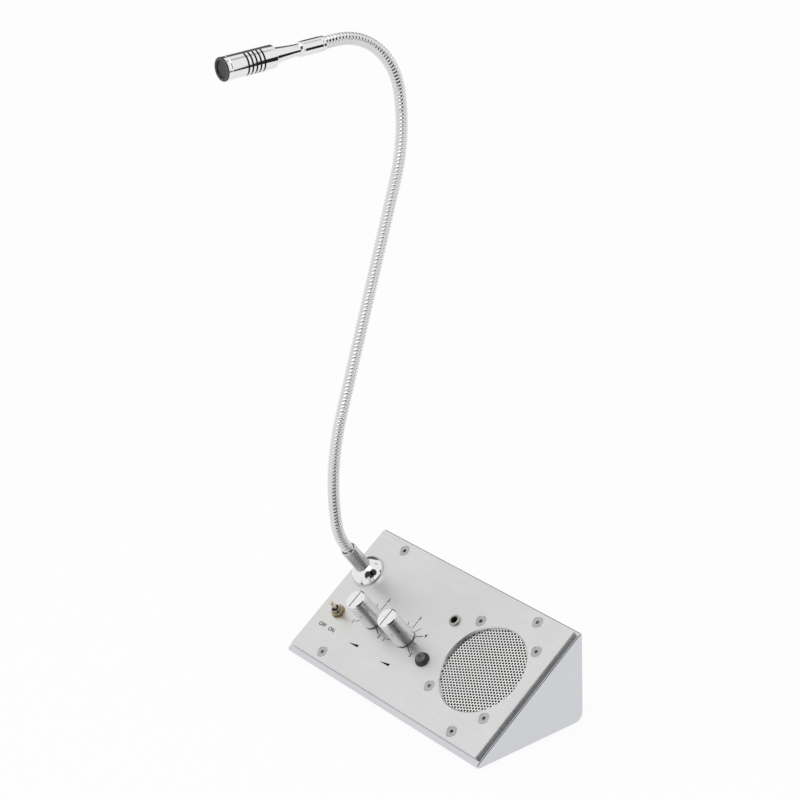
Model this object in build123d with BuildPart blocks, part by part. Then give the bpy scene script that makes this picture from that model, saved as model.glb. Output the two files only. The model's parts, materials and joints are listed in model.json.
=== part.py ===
from build123d import *
import os
from math import cos, radians, sin, sqrt, tan

# Counter-window intercom: a sloping control plate on a folded case, with a gooseneck microphone.
# Millimetres. X runs to the right, Y to the rear, Z up. The origin is the middle of the case's
# underside. Places on the plate are given across it and up its slope, from its middle.

os.makedirs("parts", exist_ok=True)

# ---- driving sizes: folded case
case_width = 196.0
case_depth = 85.4
slope_degrees = 34.69
sheet = 1.5
nose_radius = 2.5
top_radius = 1.5
heel_radius = 6.0
flange_side = 7.0  # from the case's side to the opening under the plate
flange_end = 11.75  # from the plate's upper or lower edge to the opening

# ---- front plate
plate_thickness = 3.0
plate_corner = 1.2
plate_edge_break = 0.3
plate_margin = 3.0  # between the plate's side and the case's
plate_setback = 8.12  # along the slope, from the case's sharp front corner to the plate
plate_top_margin = 2.94  # along the slope, from the plate to the case's sharp top corner

# ---- fasteners
running_gap = 0.05  # beside threads and inside seats
screw_clearance = 0.25
head_radius = 3.8
head_sink = 0.2
shank_radius = 2.0
socket_width = 2.5
socket_depth = 1.3
plate_screw_length = 8.0
plate_screw_inset = 28.4  # from the plate's side
plate_screw_end_inset = 6.25  # from its upper or lower edge
nut_width = 7.0
nut_height = 3.0
speaker_screw_length = 8.4

# ---- loudspeaker and grille
speaker_gap = 2.6  # between the speaker's flange and the side of the case's opening
speaker_up = 0.2
speaker_opening = 30.5
speaker_bevel = 0.9
speaker_screw_offset = 26.4
grille_sheet = 0.8
grille_radius = 33.0
grille_fit = 0.2
grille_hole_width = 3.9
grille_pitch = 5.6
frame_width = 68.0
frame_sheet = 1.2
basket_depth = 14.0
basket_rim = 31.0
basket_base = 16.0
window_angle = 56.0
magnet_radius = 15.5
magnet_depth = 7.0
surround_width = 4.0
cone_sheet = 0.8
cone_neck = 7.0
cap_height = 3.5

# ---- neck socket
neck_inset = 14.0  # from the plate's left side
neck_up = 18.9
dome_radius = 11.9
dome_rim = 0.8
dome_height = 8.0
collar_radius = 5.4
collar_height = 27.5
collar_bore = 4.3
collar_ledge = 2.0
collar_thread = 4.9
collar_thread_length = 12.0
collar_nut_width = 14.0
collar_nut_height = 3.0
washer_radius = 9.0
washer_height = 1.0

# ---- gooseneck: length of each stretch and its turn, forward turns positive
neck_runs = (
    (1.5, 0.0),
    (21.0, -28.2),
    (76.3, -25.8),
    (155.0, 0.0),
    (58.1, 26.5),
    (68.6, 84.5),
    (8.0, 0.0),
)
neck_crest = 4.0
neck_valley = 3.35
neck_bore = 2.5
rib_pitch = 3.4
rib_sides = 12
bore_sides = 8
flex_gap = 2.0  # between two stretches, at the point where they bend
flex_stem = 1.9
flex_reach = 0.9  # how far a stem stands past that point
flex_plug = 3.0
flex_plug_bite = 0.2  # how far the plug is let into the bore's wall
lead_bore = 1.1
lean_point = 13.0
middle_point = 188.0
nod_point = 373.0

# ---- microphone, measured along its axis from the neck's end
ferrule_radius = 4.85
ferrule_length = 20.0
ferrule_round = 0.8
ferrule_bore_depth = 5.0
taper_length = 18.8
taper_small = 3.7
taper_large = 5.3
barrel_radius = 7.4
barrel_length = 33.2
barrel_wall = 1.2
barrel_floor = 1.5
barrel_round = 0.6
slot_count = 5
slot_pitch = 2.9
slot_width = 0.9
slot_setback = 11.6  # from the barrel's front to the middle of the first slot
slot_angle = 140.0
ring_length = 3.2
ring_spigot = 4.0
ring_lip = 1.4
ring_opening = 5.2
mesh_radius = 5.6
mesh_thickness = 0.5
capsule_length = 9.0

# ---- power switch
toggle_shift = 2.5  # to the right of the neck
toggle_up = -15.0
bush_radius = 3.0
bush_height = 4.5
toggle_bore = 2.3
toggle_pivot = 1.0
toggle_hub = 1.8
toggle_hub_height = 1.6
toggle_case_size = (13.0, 8.0, 9.5)
toggle_nut_width = 8.0
toggle_nut_height = 2.0
toggle_washer = 0.5
lever_neck = 1.05
lever_tip = 1.4
lever_length = 12.6
lever_round = 0.8
lever_tilt = 11.0
tag_size = (2.0, 0.8, 4.5)
tag_pitch = 4.7

# ---- volume knobs
talk_way = 4 / 11  # of the way from the neck to the lamp
listen_way = 8 / 11
talk_up = -7.6
listen_up = -7.7
knob_radius = 7.4
knob_top_radius = 7.1
knob_gap = 0.8
knob_top = 24.8
knob_chamfer = 0.9
knob_recess_radius = 6.4
knob_recess_top = 5.0
shaft_radius = 3.0
shaft_fit = 0.08
shaft_flat = 1.5
shaft_top = 20.0
pot_radius = 8.0
pot_depth = 8.5
pot_floor = 1.0
pot_bush = 3.5
pot_bush_height = 4.2
pot_nut_width = 10.0
pot_nut_height = 2.2

# ---- lamp
lamp_gap = 10.9  # from the speaker's flange to the lamp's axis
lamp_up = -14.2
bezel_radius = 5.0
bezel_rim = 0.9
bezel_top_radius = 3.9
bezel_height = 2.7
lens_radius = 3.5
lens_seat = 1.2
lens_crown = 0.9
lamp_tube = 4.0
lamp_tube_wall = 0.8
lamp_tube_depth = 12.0
lamp_nut_width = 10.0
lamp_nut_height = 2.0
led_radius = 2.5
led_length = 7.0

# ---- jacks and power inlet
jack_shift = 0.8  # to the right of the lamp
jack_up = 18.5
jack_hole = 1.8
jack_bush = 3.0
jack_bush_height = 1.0
jack_ring_radius = 4.0
jack_ring_height = 1.5
jack_ring_opening = 2.6
jack_block = (10.0, 9.0, 13.0)
jack_hole_depth = 15.0
inlet_inset = 28.0  # from the case's left side
rear_socket_pitch = 28.0
rear_socket_height = 24.0
inlet_flange = 7.0
inlet_flange_height = 1.8
inlet_barrel = 5.5
inlet_depth = 13.0
inlet_hole = 2.8
inlet_hole_depth = 9.5
inlet_pin = 1.0
inlet_nut_width = 14.0
inlet_nut_height = 2.5

# ---- circuit board
board_width = 84.0
board_depth = 34.0
board_thickness = 1.6
board_side_gap = 20.0  # from the case's left side to the board
board_rear_gap = 7.7
board_lift = 5.0
board_hole_inset = 4.0
post_width = 5.0
pin_radius = 1.5
pin_head_radius = 2.1
pin_head_height = 1.2
capacitor_radius = 4.0
capacitor_height = 12.0
capacitor_places = ((-28.0, -4.0), (-16.0, -4.0), (6.0, -4.0))  # from the board's middle
chip_size = (20.0, 4.5, 15.0)
chip_place = (24.0, -2.0)

# ---- feet
foot_inset = 14.0  # from the case's side
foot_front_inset = 18.7
foot_rear_inset = 13.2
foot_radius = 6.0
foot_height = 2.0
foot_seat_depth = 0.5  # the feet stand in shallow round seats
foot_seat_gap = 0.5

# ---- layout: the plate follows the case, and what it carries follows the plate and the opening
slope = radians(slope_degrees)
rear = case_depth / 2
front_corner = -rear - nose_radius * (1 / tan(slope / 2) - 1)
case_height = (rear - front_corner) * tan(slope)
plate_width = case_width - 2 * plate_margin
plate_height = (rear - front_corner) / cos(slope) - plate_setback - plate_top_margin
opening_width = case_width - 2 * flange_side
opening_height = plate_height - 2 * flange_end
plate_screw_across = plate_width / 2 - plate_screw_inset
plate_screw_up = plate_height / 2 - plate_screw_end_inset
speaker_place = (opening_width / 2 - speaker_gap - frame_width / 2, speaker_up)
lamp_place = (speaker_place[0] - frame_width / 2 - lamp_gap, lamp_up)
jack_place = (lamp_place[0] + jack_shift, jack_up)
neck_place = (neck_inset - plate_width / 2, neck_up)
toggle_place = (neck_place[0] + toggle_shift, toggle_up)
neck_to_lamp = lamp_place[0] - neck_place[0]
talk_place = (neck_place[0] + talk_way * neck_to_lamp, talk_up)
listen_place = (neck_place[0] + listen_way * neck_to_lamp, listen_up)
inlet_across = inlet_inset - case_width / 2
line_jack_across = inlet_across + rear_socket_pitch
board_middle = (
    board_side_gap + board_width / 2 - case_width / 2,
    rear - board_rear_gap - board_depth / 2,
)
foot_across = case_width / 2 - foot_inset
foot_front = foot_front_inset - rear
foot_rear = rear - foot_rear_inset

# ---- derived frame
up_slope = plate_setback + plate_height / 2
panel = Plane(
    origin=(
        0,
        front_corner + up_slope * cos(slope) - plate_thickness * sin(slope),
        up_slope * sin(slope) + plate_thickness * cos(slope),
    ),
    x_dir=(1, 0, 0),
    z_dir=(0, -sin(slope), cos(slope)),
)
below_plate = -plate_thickness


def seat_at(place, height=0.0):
    """Plane parallel to the plate, at a place on it and a height above its face."""
    spot = panel.from_local_coords((place[0], place[1], height))
    return Plane(origin=spot, x_dir=panel.x_dir, z_dir=panel.z_dir)


def rear_seat(across, height, inward=0.0):
    """Plane on the case's rear wall that faces the rear."""
    return Plane(origin=(across, rear - inward, height), x_dir=(-1, 0, 0), z_dir=(0, 1, 0))


def half_plane(seat):
    """Plane through a seat's axis, with the radius along its X and the height along its Y."""
    return Plane(origin=seat.origin, x_dir=seat.x_dir, z_dir=-seat.y_dir)


def turned(seats, outline):
    """Pieces turned about their seats' axes from one outline of (radius, height) corners."""
    with BuildPart() as piece:
        for seat in seats:
            with BuildSketch(half_plane(seat)):
                with BuildLine():
                    Polyline(*outline, close=True)
                make_face()
            revolve(axis=Axis(seat.origin, seat.z_dir))
    return piece


def hex_nuts(seats, width, height, bore):
    """Hex nuts that rise from their seats, or hang from them where the height is negative."""
    with BuildPart() as nuts:
        for seat in seats:
            with BuildSketch(seat):
                RegularPolygon(width / 2, 6, major_radius=False)
                Circle(bore, mode=Mode.SUBTRACT)
            extrude(amount=height)
    return nuts


def socket_screws(places, length):
    """Countersunk screws with a hex socket, sunk into the plate's face."""
    with BuildPart() as screws:
        for place in places:
            seat = seat_at(place, -head_sink)
            with BuildSketch(half_plane(seat)):
                with BuildLine():
                    Polyline(
                        (0, 0),
                        (head_radius, 0),
                        (shank_radius, shank_radius - head_radius),
                        (shank_radius, -length),
                        (0, -length),
                        close=True,
                    )
                make_face()
            revolve(axis=Axis(seat.origin, seat.z_dir))
            with BuildSketch(seat):
                RegularPolygon(socket_width / 2, 6, major_radius=False)
            extrude(amount=-socket_depth, mode=Mode.SUBTRACT)
    return screws


def save(piece, name):
    """Label a finished piece and write its file."""
    piece.part.label = name
    export_step(piece.part, f"parts/{name}.step")


plate_screw_places = [
    (across, up)
    for across in (-plate_screw_across, plate_screw_across)
    for up in (-plate_screw_up, plate_screw_up)
]
speaker_screw_places = [
    (speaker_place[0] + across, speaker_place[1] + up)
    for across in (-speaker_screw_offset, speaker_screw_offset)
    for up in (-speaker_screw_offset, speaker_screw_offset)
]
foot_places = [
    (across, along)
    for across in (-foot_across, foot_across)
    for along in (foot_front, foot_rear)
]
thread_hole = shank_radius + running_gap
screw_hole = shank_radius + screw_clearance
countersink = head_radius + head_sink + running_gap

# ---- case: a folded, welded shell under the plate, open below it
with BuildPart() as housing:
    with BuildSketch(Plane.YZ.offset(-case_width / 2)) as side:
        with BuildLine():
            Polyline((front_corner, 0), (rear, 0), (rear, case_height), close=True)
        make_face()
        fillet(side.vertices().sort_by(Axis.X)[0], nose_radius)
        fillet(side.vertices().sort_by(Axis.Y)[-1], top_radius)
        fillet(side.vertices().group_by(Axis.X)[-1].sort_by(Axis.Y)[0], heel_radius)
    extrude(amount=case_width)
    with BuildSketch(Plane.YZ.offset(sheet - case_width / 2)) as hollow:
        with BuildLine():
            Polyline((front_corner, 0), (rear, 0), (rear, case_height), close=True)
        make_face()
        offset(amount=-sheet, kind=Kind.INTERSECTION)
        fillet(hollow.vertices().sort_by(Axis.X)[0], nose_radius - sheet)
        fillet(hollow.vertices().group_by(Axis.X)[-1].sort_by(Axis.Y)[0], heel_radius - sheet)
    extrude(amount=case_width - 2 * sheet, mode=Mode.SUBTRACT)
    with BuildSketch(seat_at((0, 0), below_plate)):
        Rectangle(opening_width, opening_height)
        with Locations(*plate_screw_places):
            Circle(screw_hole)
    extrude(amount=-2 * sheet, mode=Mode.SUBTRACT)
    with BuildSketch(rear_seat(0, 0)):
        with Locations((-inlet_across, rear_socket_height)):
            Circle(inlet_barrel + running_gap)
        with Locations((-line_jack_across, rear_socket_height)):
            Circle(jack_bush + running_gap)
    extrude(amount=-sheet, mode=Mode.SUBTRACT)
    with BuildSketch():
        with Locations(*foot_places):
            Circle(foot_radius + foot_seat_gap)
    extrude(amount=foot_seat_depth, mode=Mode.SUBTRACT)
save(housing, "housing")

# ---- front plate with its holes
with BuildPart() as front_plate:
    with BuildSketch(panel):
        RectangleRounded(plate_width, plate_height, plate_corner)
    extrude(amount=-plate_thickness)
    chamfer(front_plate.faces().sort_by(Axis(panel.origin, panel.z_dir))[-1].edges(), plate_edge_break)
    with BuildSketch(panel):
        with Locations(neck_place):
            Circle(collar_thread + running_gap)
        with Locations(toggle_place):
            Circle(bush_radius + running_gap)
        with Locations(talk_place, listen_place):
            Circle(pot_bush + running_gap)
        with Locations(lamp_place):
            Circle(lamp_tube + running_gap)
        with Locations(jack_place):
            Circle(jack_bush + running_gap)
    extrude(amount=-plate_thickness, mode=Mode.SUBTRACT)
    with Locations(*[seat_at(place) for place in plate_screw_places + speaker_screw_places]):
        CounterSinkHole(screw_hole, countersink, plate_thickness, 90)
    with Locations(seat_at(speaker_place)):
        CounterSinkHole(speaker_opening, speaker_opening + speaker_bevel, plate_thickness, 90)
    with BuildSketch(seat_at(speaker_place, below_plate)):
        Circle(grille_radius + grille_fit)
    extrude(amount=grille_sheet, mode=Mode.SUBTRACT)
save(front_plate, "front_panel")

panel_screws = socket_screws(plate_screw_places, plate_screw_length)
save(panel_screws, "panel_screws")

under_flange = [seat_at(place, below_plate - sheet) for place in plate_screw_places]
panel_nuts = hex_nuts(under_flange, nut_width, -nut_height, thread_hole)
save(panel_nuts, "panel_nuts")

# ---- perforated grille in the pocket behind the round opening
with BuildPart() as grille:
    with BuildSketch(seat_at(speaker_place, below_plate)):
        Circle(grille_radius)
        reach = int(speaker_opening / (grille_pitch * sqrt(3) / 2))
        for row in range(-reach, reach + 1):
            up = row * grille_pitch * sqrt(3) / 2
            for column in range(-reach - 1, reach + 2):
                across = (column + (row % 2) / 2) * grille_pitch
                if sqrt(across**2 + up**2) < speaker_opening - grille_hole_width / 2:
                    with Locations((across, up)):
                        RegularPolygon(
                            grille_hole_width / 2, 6, major_radius=False, mode=Mode.SUBTRACT
                        )
    extrude(amount=grille_sheet)
save(grille, "speaker_grille")

# ---- loudspeaker: square flange, basket with four windows, cone and magnet
with BuildPart() as frame:
    with BuildSketch(seat_at(speaker_place, below_plate)):
        Rectangle(frame_width, frame_width)
        Circle(basket_rim, mode=Mode.SUBTRACT)
        with GridLocations(2 * speaker_screw_offset, 2 * speaker_screw_offset, 2, 2):
            Circle(screw_hole, mode=Mode.SUBTRACT)
    extrude(amount=-frame_sheet)
    with BuildSketch(half_plane(seat_at(speaker_place, below_plate))):
        with BuildLine():
            Polyline(
                (basket_rim, 0),
                (basket_rim + frame_sheet, 0),
                (basket_rim + frame_sheet, -surround_width),
                (basket_base + frame_sheet, -basket_depth),
                (cone_neck, -basket_depth),
                (cone_neck, frame_sheet - basket_depth),
                (basket_base, frame_sheet - basket_depth),
                (basket_rim - surround_width, -surround_width),
                (basket_rim - surround_width, frame_sheet - surround_width),
                (basket_rim, frame_sheet - surround_width),
                close=True,
            )
        make_face()
    revolve(axis=Axis(seat_at(speaker_place).origin, panel.z_dir))
    with BuildSketch(seat_at(speaker_place, below_plate - basket_depth + frame_sheet)):
        with PolarLocations(0, 4):
            with BuildLine():
                start = Vector(basket_rim + 2 * frame_sheet, 0).rotate(Axis.Z, -window_angle / 2)
                end = start.rotate(Axis.Z, window_angle)
                near = Vector(basket_base + frame_sheet, 0).rotate(Axis.Z, -window_angle / 2)
                far = near.rotate(Axis.Z, window_angle)
                ThreePointArc(start, Vector(start.length, 0), end)
                Line(end, far)
                ThreePointArc(far, Vector(near.length, 0), near)
                Line(near, start)
            make_face()
    extrude(amount=basket_depth - surround_width - 2 * frame_sheet, mode=Mode.SUBTRACT)
save(frame, "speaker_frame")

cone_rim = basket_rim - running_gap
cone_edge = below_plate - surround_width + frame_sheet
cone_bottom = below_plate - basket_depth + 2 * frame_sheet + 1.0
cone = turned(
    [seat_at(speaker_place)],
    [
        (0, cone_bottom + cap_height + cone_sheet),
        (cone_neck, cone_bottom + cone_sheet),
        (basket_rim - surround_width - 1, cone_edge + cone_sheet),
        (basket_rim - surround_width + 1, cone_edge + 2 * cone_sheet),
        (cone_rim, cone_edge + 2 * cone_sheet),
        (cone_rim, cone_edge),
        (basket_rim - surround_width - 0.4, cone_edge),
        (cone_neck, cone_bottom),
        (0, cone_bottom),
    ],
)
save(cone, "speaker_cone")

magnet_top = below_plate - basket_depth
magnet = turned(
    [seat_at(speaker_place)],
    [
        (0, magnet_top),
        (magnet_radius - 1, magnet_top),
        (magnet_radius - 1, magnet_top - 1),
        (magnet_radius, magnet_top - 1),
        (magnet_radius, magnet_top - magnet_depth),
        (0, magnet_top - magnet_depth),
    ],
)
save(magnet, "speaker_magnet")

speaker_screws = socket_screws(speaker_screw_places, speaker_screw_length)
save(speaker_screws, "speaker_screws")

under_frame = [seat_at(place, below_plate - frame_sheet) for place in speaker_screw_places]
speaker_nuts = hex_nuts(under_frame, nut_width, -nut_height, thread_hole)
save(speaker_nuts, "speaker_nuts")

# ---- neck socket: domed flange, collar with a threaded foot, washer and nut
with BuildPart() as dome:
    with BuildSketch(half_plane(seat_at(neck_place))):
        inner = collar_radius + running_gap
        centre = (inner**2 + dome_height**2 - dome_radius**2 - dome_rim**2) / (
            2 * (dome_height - dome_rim)
        )
        crown = sqrt(inner**2 + (dome_height - centre) ** 2)
        middle = Vector(0, crown).rotate(Axis.Z, -45)
        with BuildLine():
            Polyline((inner, dome_height), (inner, 0), (dome_radius, 0), (dome_radius, dome_rim))
            ThreePointArc(
                (dome_radius, dome_rim),
                (middle.X, middle.Y + centre),
                (inner, dome_height),
            )
        make_face()
    revolve(axis=Axis(seat_at(neck_place).origin, panel.z_dir))
save(dome, "neck_dome")

collar = turned(
    [seat_at(neck_place)],
    [
        (neck_bore, collar_ledge),
        (neck_bore, -collar_thread_length),
        (collar_thread, -collar_thread_length),
        (collar_thread, 0),
        (collar_radius, 0),
        (collar_radius, collar_height - 0.5),
        (collar_radius - 0.5, collar_height),
        (collar_bore, collar_height),
        (collar_bore, collar_ledge),
    ],
)
save(collar, "neck_collar")

washer = turned(
    [seat_at(neck_place, below_plate)],
    [
        (collar_thread + running_gap, 0),
        (washer_radius, 0),
        (washer_radius, -washer_height),
        (collar_thread + running_gap, -washer_height),
    ],
)
save(washer, "neck_washer")

neck_nut = hex_nuts(
    [seat_at(neck_place, below_plate - washer_height)],
    collar_nut_width,
    -collar_nut_height,
    collar_thread + running_gap,
)
save(neck_nut, "neck_nut")


# ---- gooseneck
def station(distance):
    """Plane across the neck at a distance along it from the collar's mouth."""
    mouth = seat_at(neck_place, collar_height).origin
    along, up = mouth.Y, mouth.Z
    lean = slope
    left = distance
    last = len(neck_runs) - 1
    for number, (length, turn) in enumerate(neck_runs):
        part = left if number == last else min(left, length)
        if number == 0 and left < 0:
            part = left
        bend = radians(turn) * part / length
        if turn:
            bow = length / radians(turn)
            along += bow * (cos(lean + bend) - cos(lean))
            up += bow * (sin(lean + bend) - sin(lean))
        else:
            along -= part * sin(lean)
            up += part * cos(lean)
        lean += bend
        left -= part
        if left <= 0:
            break
    return Plane(
        origin=(neck_place[0], along, up), x_dir=(1, 0, 0), z_dir=(0, -sin(lean), cos(lean))
    )


def bend_plug(point):
    """Pierced plug for the end of a stretch, with the stem that the next stretch bends on."""
    with BuildPart() as plug:
        with BuildSketch(station(point - half_gap)):
            Circle(neck_bore + flex_plug_bite)
        extrude(amount=-flex_plug)
        with BuildSketch(station(point).offset(flex_reach)):
            Circle(flex_stem)
        extrude(amount=-(flex_reach + half_gap + flex_plug / 2))
        with BuildSketch(station(point).offset(2 * flex_reach)):
            Circle(lead_bore)
        extrude(amount=-(2 * flex_reach + half_gap + 2 * flex_plug), mode=Mode.SUBTRACT)
    return plug


def neck_stretch(start, end):
    """Ribbed stretch with its bore, and the plug that the next stretch bends on."""
    ribs = max(2, round((end - start) / rib_pitch))
    plug = bend_plug(end + half_gap)
    with BuildPart() as stretch:
        for step in range(2 * ribs + 1):
            with BuildSketch(station(start + (end - start) * step / (2 * ribs))):
                RegularPolygon(neck_crest if step % 2 else neck_valley, rib_sides)
        loft(ruled=True)
        for step in range(ribs // 2 + 1):
            with BuildSketch(station(start + (end - start) * step / (ribs // 2))):
                RegularPolygon(neck_bore, bore_sides)
        loft(ruled=True, mode=Mode.SUBTRACT)
        add(plug.part)
    return stretch


neck_length = sum(length for length, _ in neck_runs)
half_gap = flex_gap / 2

foot_plug = bend_plug(0)
with BuildPart() as foot:
    with BuildSketch(station(collar_ledge - collar_height)):
        Circle(neck_crest)
        Circle(neck_bore, mode=Mode.SUBTRACT)
    extrude(amount=collar_height - collar_ledge - half_gap)
    add(foot_plug.part)
save(foot, "neck_foot")

neck_root = neck_stretch(half_gap, lean_point - half_gap)
save(neck_root, "neck_root")
neck_lower = neck_stretch(lean_point + half_gap, middle_point - half_gap)
save(neck_lower, "neck_lower")
neck_upper = neck_stretch(middle_point + half_gap, nod_point - half_gap)
save(neck_upper, "neck_upper")
neck_tip = neck_stretch(nod_point + half_gap, neck_length - half_gap)
save(neck_tip, "neck_tip")

# ---- microphone on the neck's end
head = station(neck_length)
taper_start = ferrule_length
barrel_start = taper_start + taper_length
ring_start = barrel_start + barrel_length
ring_end = ring_start + ring_length

ferrule = turned(
    [head],
    [
        (neck_bore, half_gap),
        (neck_crest, half_gap),
        (ferrule_radius, half_gap + ferrule_round),
        (ferrule_radius, ferrule_length - ferrule_round),
        (taper_small + 0.3, ferrule_length),
        (lead_bore, ferrule_length),
        (lead_bore, half_gap + ferrule_bore_depth),
        (neck_bore, half_gap + ferrule_bore_depth),
    ],
)
save(ferrule, "mic_ferrule")

taper = turned(
    [head],
    [
        (lead_bore, taper_start),
        (taper_small, taper_start),
        (taper_large, barrel_start),
        (lead_bore, barrel_start),
    ],
)
save(taper, "mic_taper")

with BuildPart() as barrel:
    with BuildSketch(half_plane(head)):
        with BuildLine():
            Polyline(
                (lead_bore, barrel_start),
                (barrel_radius - barrel_round, barrel_start),
                (barrel_radius, barrel_start + barrel_round),
                (barrel_radius, ring_start),
                (barrel_radius - barrel_wall, ring_start),
                (barrel_radius - barrel_wall, barrel_start + barrel_floor),
                (lead_bore, barrel_start + barrel_floor),
                close=True,
            )
        make_face()
    revolve(axis=Axis(head.origin, head.z_dir))
    for number in range(slot_count):
        back = slot_setback + number * slot_pitch
        with BuildSketch(head.offset(ring_start - back - slot_width / 2)):
            with PolarLocations(0, 2):
                with BuildLine():
                    first = Vector(barrel_radius + 1, 0).rotate(Axis.Z, -slot_angle / 2)
                    last = first.rotate(Axis.Z, slot_angle)
                    ThreePointArc(first, (barrel_radius + 1, 0), last)
                    Line(last, (0, 0))
                    Line((0, 0), first)
                make_face()
            Circle(barrel_radius - barrel_wall - 0.5, mode=Mode.SUBTRACT)
        extrude(amount=slot_width, mode=Mode.SUBTRACT)
save(barrel, "mic_barrel")

spigot_radius = barrel_radius - barrel_wall - running_gap
mesh_front = ring_end - ring_lip
ring = turned(
    [head],
    [
        (mesh_radius + running_gap, ring_start - ring_spigot),
        (spigot_radius, ring_start - ring_spigot),
        (spigot_radius, ring_start),
        (barrel_radius, ring_start),
        (barrel_radius, ring_end - 0.6),
        (barrel_radius - 0.6, ring_end),
        (ring_opening + 0.5, ring_end),
        (ring_opening, ring_end - 0.5),
        (ring_opening, mesh_front),
        (mesh_radius + running_gap, mesh_front),
    ],
)
save(ring, "mic_ring")

with BuildPart() as mesh:
    with BuildSketch(head.offset(mesh_front)):
        Circle(mesh_radius)
    extrude(amount=-mesh_thickness)
save(mesh, "mic_mesh")

with BuildPart() as capsule:
    with BuildSketch(head.offset(mesh_front - mesh_thickness)):
        Circle(mesh_radius)
    extrude(amount=-capsule_length)
save(capsule, "mic_capsule")

# ---- power switch: case with its threaded bush, nut, washer and bat lever
case_across, case_up, case_deep = toggle_case_size
with BuildPart() as toggle_case:
    with BuildSketch(seat_at(toggle_place, below_plate)):
        Rectangle(case_across, case_up)
    extrude(amount=-case_deep)
    with BuildSketch(seat_at(toggle_place, below_plate)):
        Circle(bush_radius)
    extrude(amount=plate_thickness + bush_height)
    with BuildSketch(seat_at(toggle_place, bush_height)):
        Circle(toggle_bore)
    extrude(amount=toggle_pivot - toggle_bore - bush_height, mode=Mode.SUBTRACT)
    with BuildSketch(seat_at(toggle_place, below_plate - case_deep)):
        with GridLocations(tag_pitch, 1, 3, 1):
            Rectangle(tag_size[1], tag_size[0])
    extrude(amount=-tag_size[2])
save(toggle_case, "toggle_case")

toggle_ring = turned(
    [seat_at(toggle_place)],
    [
        (bush_radius + running_gap, 0),
        (toggle_nut_width / 2 + 0.9, 0),
        (toggle_nut_width / 2 + 0.9, toggle_washer),
        (bush_radius + running_gap, toggle_washer),
    ],
)
save(toggle_ring, "toggle_washer")

toggle_nut = hex_nuts(
    [seat_at(toggle_place, toggle_washer)],
    toggle_nut_width,
    toggle_nut_height,
    bush_radius + running_gap,
)
save(toggle_nut, "toggle_nut")

pivot = seat_at(toggle_place, toggle_pivot)
lever_axis = Plane(
    origin=pivot.origin,
    x_dir=panel.x_dir * cos(radians(lever_tilt)) - panel.z_dir * sin(radians(lever_tilt)),
    z_dir=panel.z_dir * cos(radians(lever_tilt)) + panel.x_dir * sin(radians(lever_tilt)),
)
lever = turned(
    [lever_axis],
    [
        (0, -toggle_hub_height / 2),
        (toggle_hub, -toggle_hub_height / 2),
        (toggle_hub, toggle_hub_height / 2),
        (lever_neck, toggle_hub_height / 2),
        (lever_tip, lever_length - lever_round),
        (lever_tip - lever_round / 2, lever_length - lever_round / 4),
        (0, lever_length),
    ],
)
save(lever, "toggle_lever")


# ---- volume controls
def knob_at(place):
    """Turned knob with a recess over the nut and a bore for the shaft."""
    return turned(
        [seat_at(place)],
        [
            (knob_recess_radius, knob_gap),
            (knob_radius, knob_gap),
            (knob_top_radius, knob_top - knob_chamfer),
            (knob_top_radius - knob_chamfer, knob_top),
            (0, knob_top),
            (0, shaft_top),
            (shaft_radius + running_gap, shaft_top),
            (shaft_radius + running_gap, knob_recess_top),
            (knob_recess_radius, knob_recess_top),
        ],
    )


def shaft_at(place):
    """Shaft with a flat on its top half."""
    bottom = below_plate - pot_depth + pot_floor
    with BuildPart() as shaft:
        with BuildSketch(seat_at(place, bottom)):
            Circle(shaft_radius)
        extrude(amount=shaft_top - bottom)
        with BuildSketch(seat_at(place, shaft_top)):
            with Locations((0, shaft_radius)):
                Rectangle(2 * shaft_radius, 2 * (shaft_radius - shaft_flat))
        extrude(amount=knob_recess_top + 1 - shaft_top, mode=Mode.SUBTRACT)
    return shaft


def pot_at(place):
    """Round potentiometer with its threaded bush and three solder tags."""
    with BuildPart() as pot:
        with BuildSketch(seat_at(place, below_plate)):
            Circle(pot_radius)
        extrude(amount=-pot_depth)
        with BuildSketch(seat_at(place, below_plate)):
            Circle(pot_bush)
        extrude(amount=plate_thickness + pot_bush_height)
        with BuildSketch(seat_at((place[0], place[1] + pot_radius + 1), below_plate - 2)):
            with GridLocations(tag_pitch, 1, 3, 1):
                Rectangle(tag_size[0], tag_size[2])
        extrude(amount=-tag_size[1])
        with BuildSketch(seat_at(place, pot_bush_height)):
            Circle(shaft_radius + shaft_fit)
        extrude(
            amount=below_plate - pot_depth + pot_floor - pot_bush_height, mode=Mode.SUBTRACT
        )
    return pot


for name, place in (("talk", talk_place), ("listen", listen_place)):
    save(knob_at(place), f"{name}_knob")
    save(shaft_at(place), f"{name}_shaft")
    save(pot_at(place), f"{name}_pot")
    save(
        hex_nuts([seat_at(place)], pot_nut_width, pot_nut_height, pot_bush + running_gap),
        f"{name}_nut",
    )

# ---- lamp: bezel with a threaded tube, domed lens, nut and light inside
tube_bore = lamp_tube - lamp_tube_wall
bezel = turned(
    [seat_at(lamp_place)],
    [
        (tube_bore, -lamp_tube_depth),
        (lamp_tube, -lamp_tube_depth),
        (lamp_tube, 0),
        (bezel_radius, 0),
        (bezel_radius, bezel_rim),
        (bezel_top_radius, bezel_height),
        (lens_radius + running_gap, bezel_height),
        (lens_radius + running_gap, lens_seat),
        (tube_bore, lens_seat),
    ],
)
save(bezel, "lamp_bezel")

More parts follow.
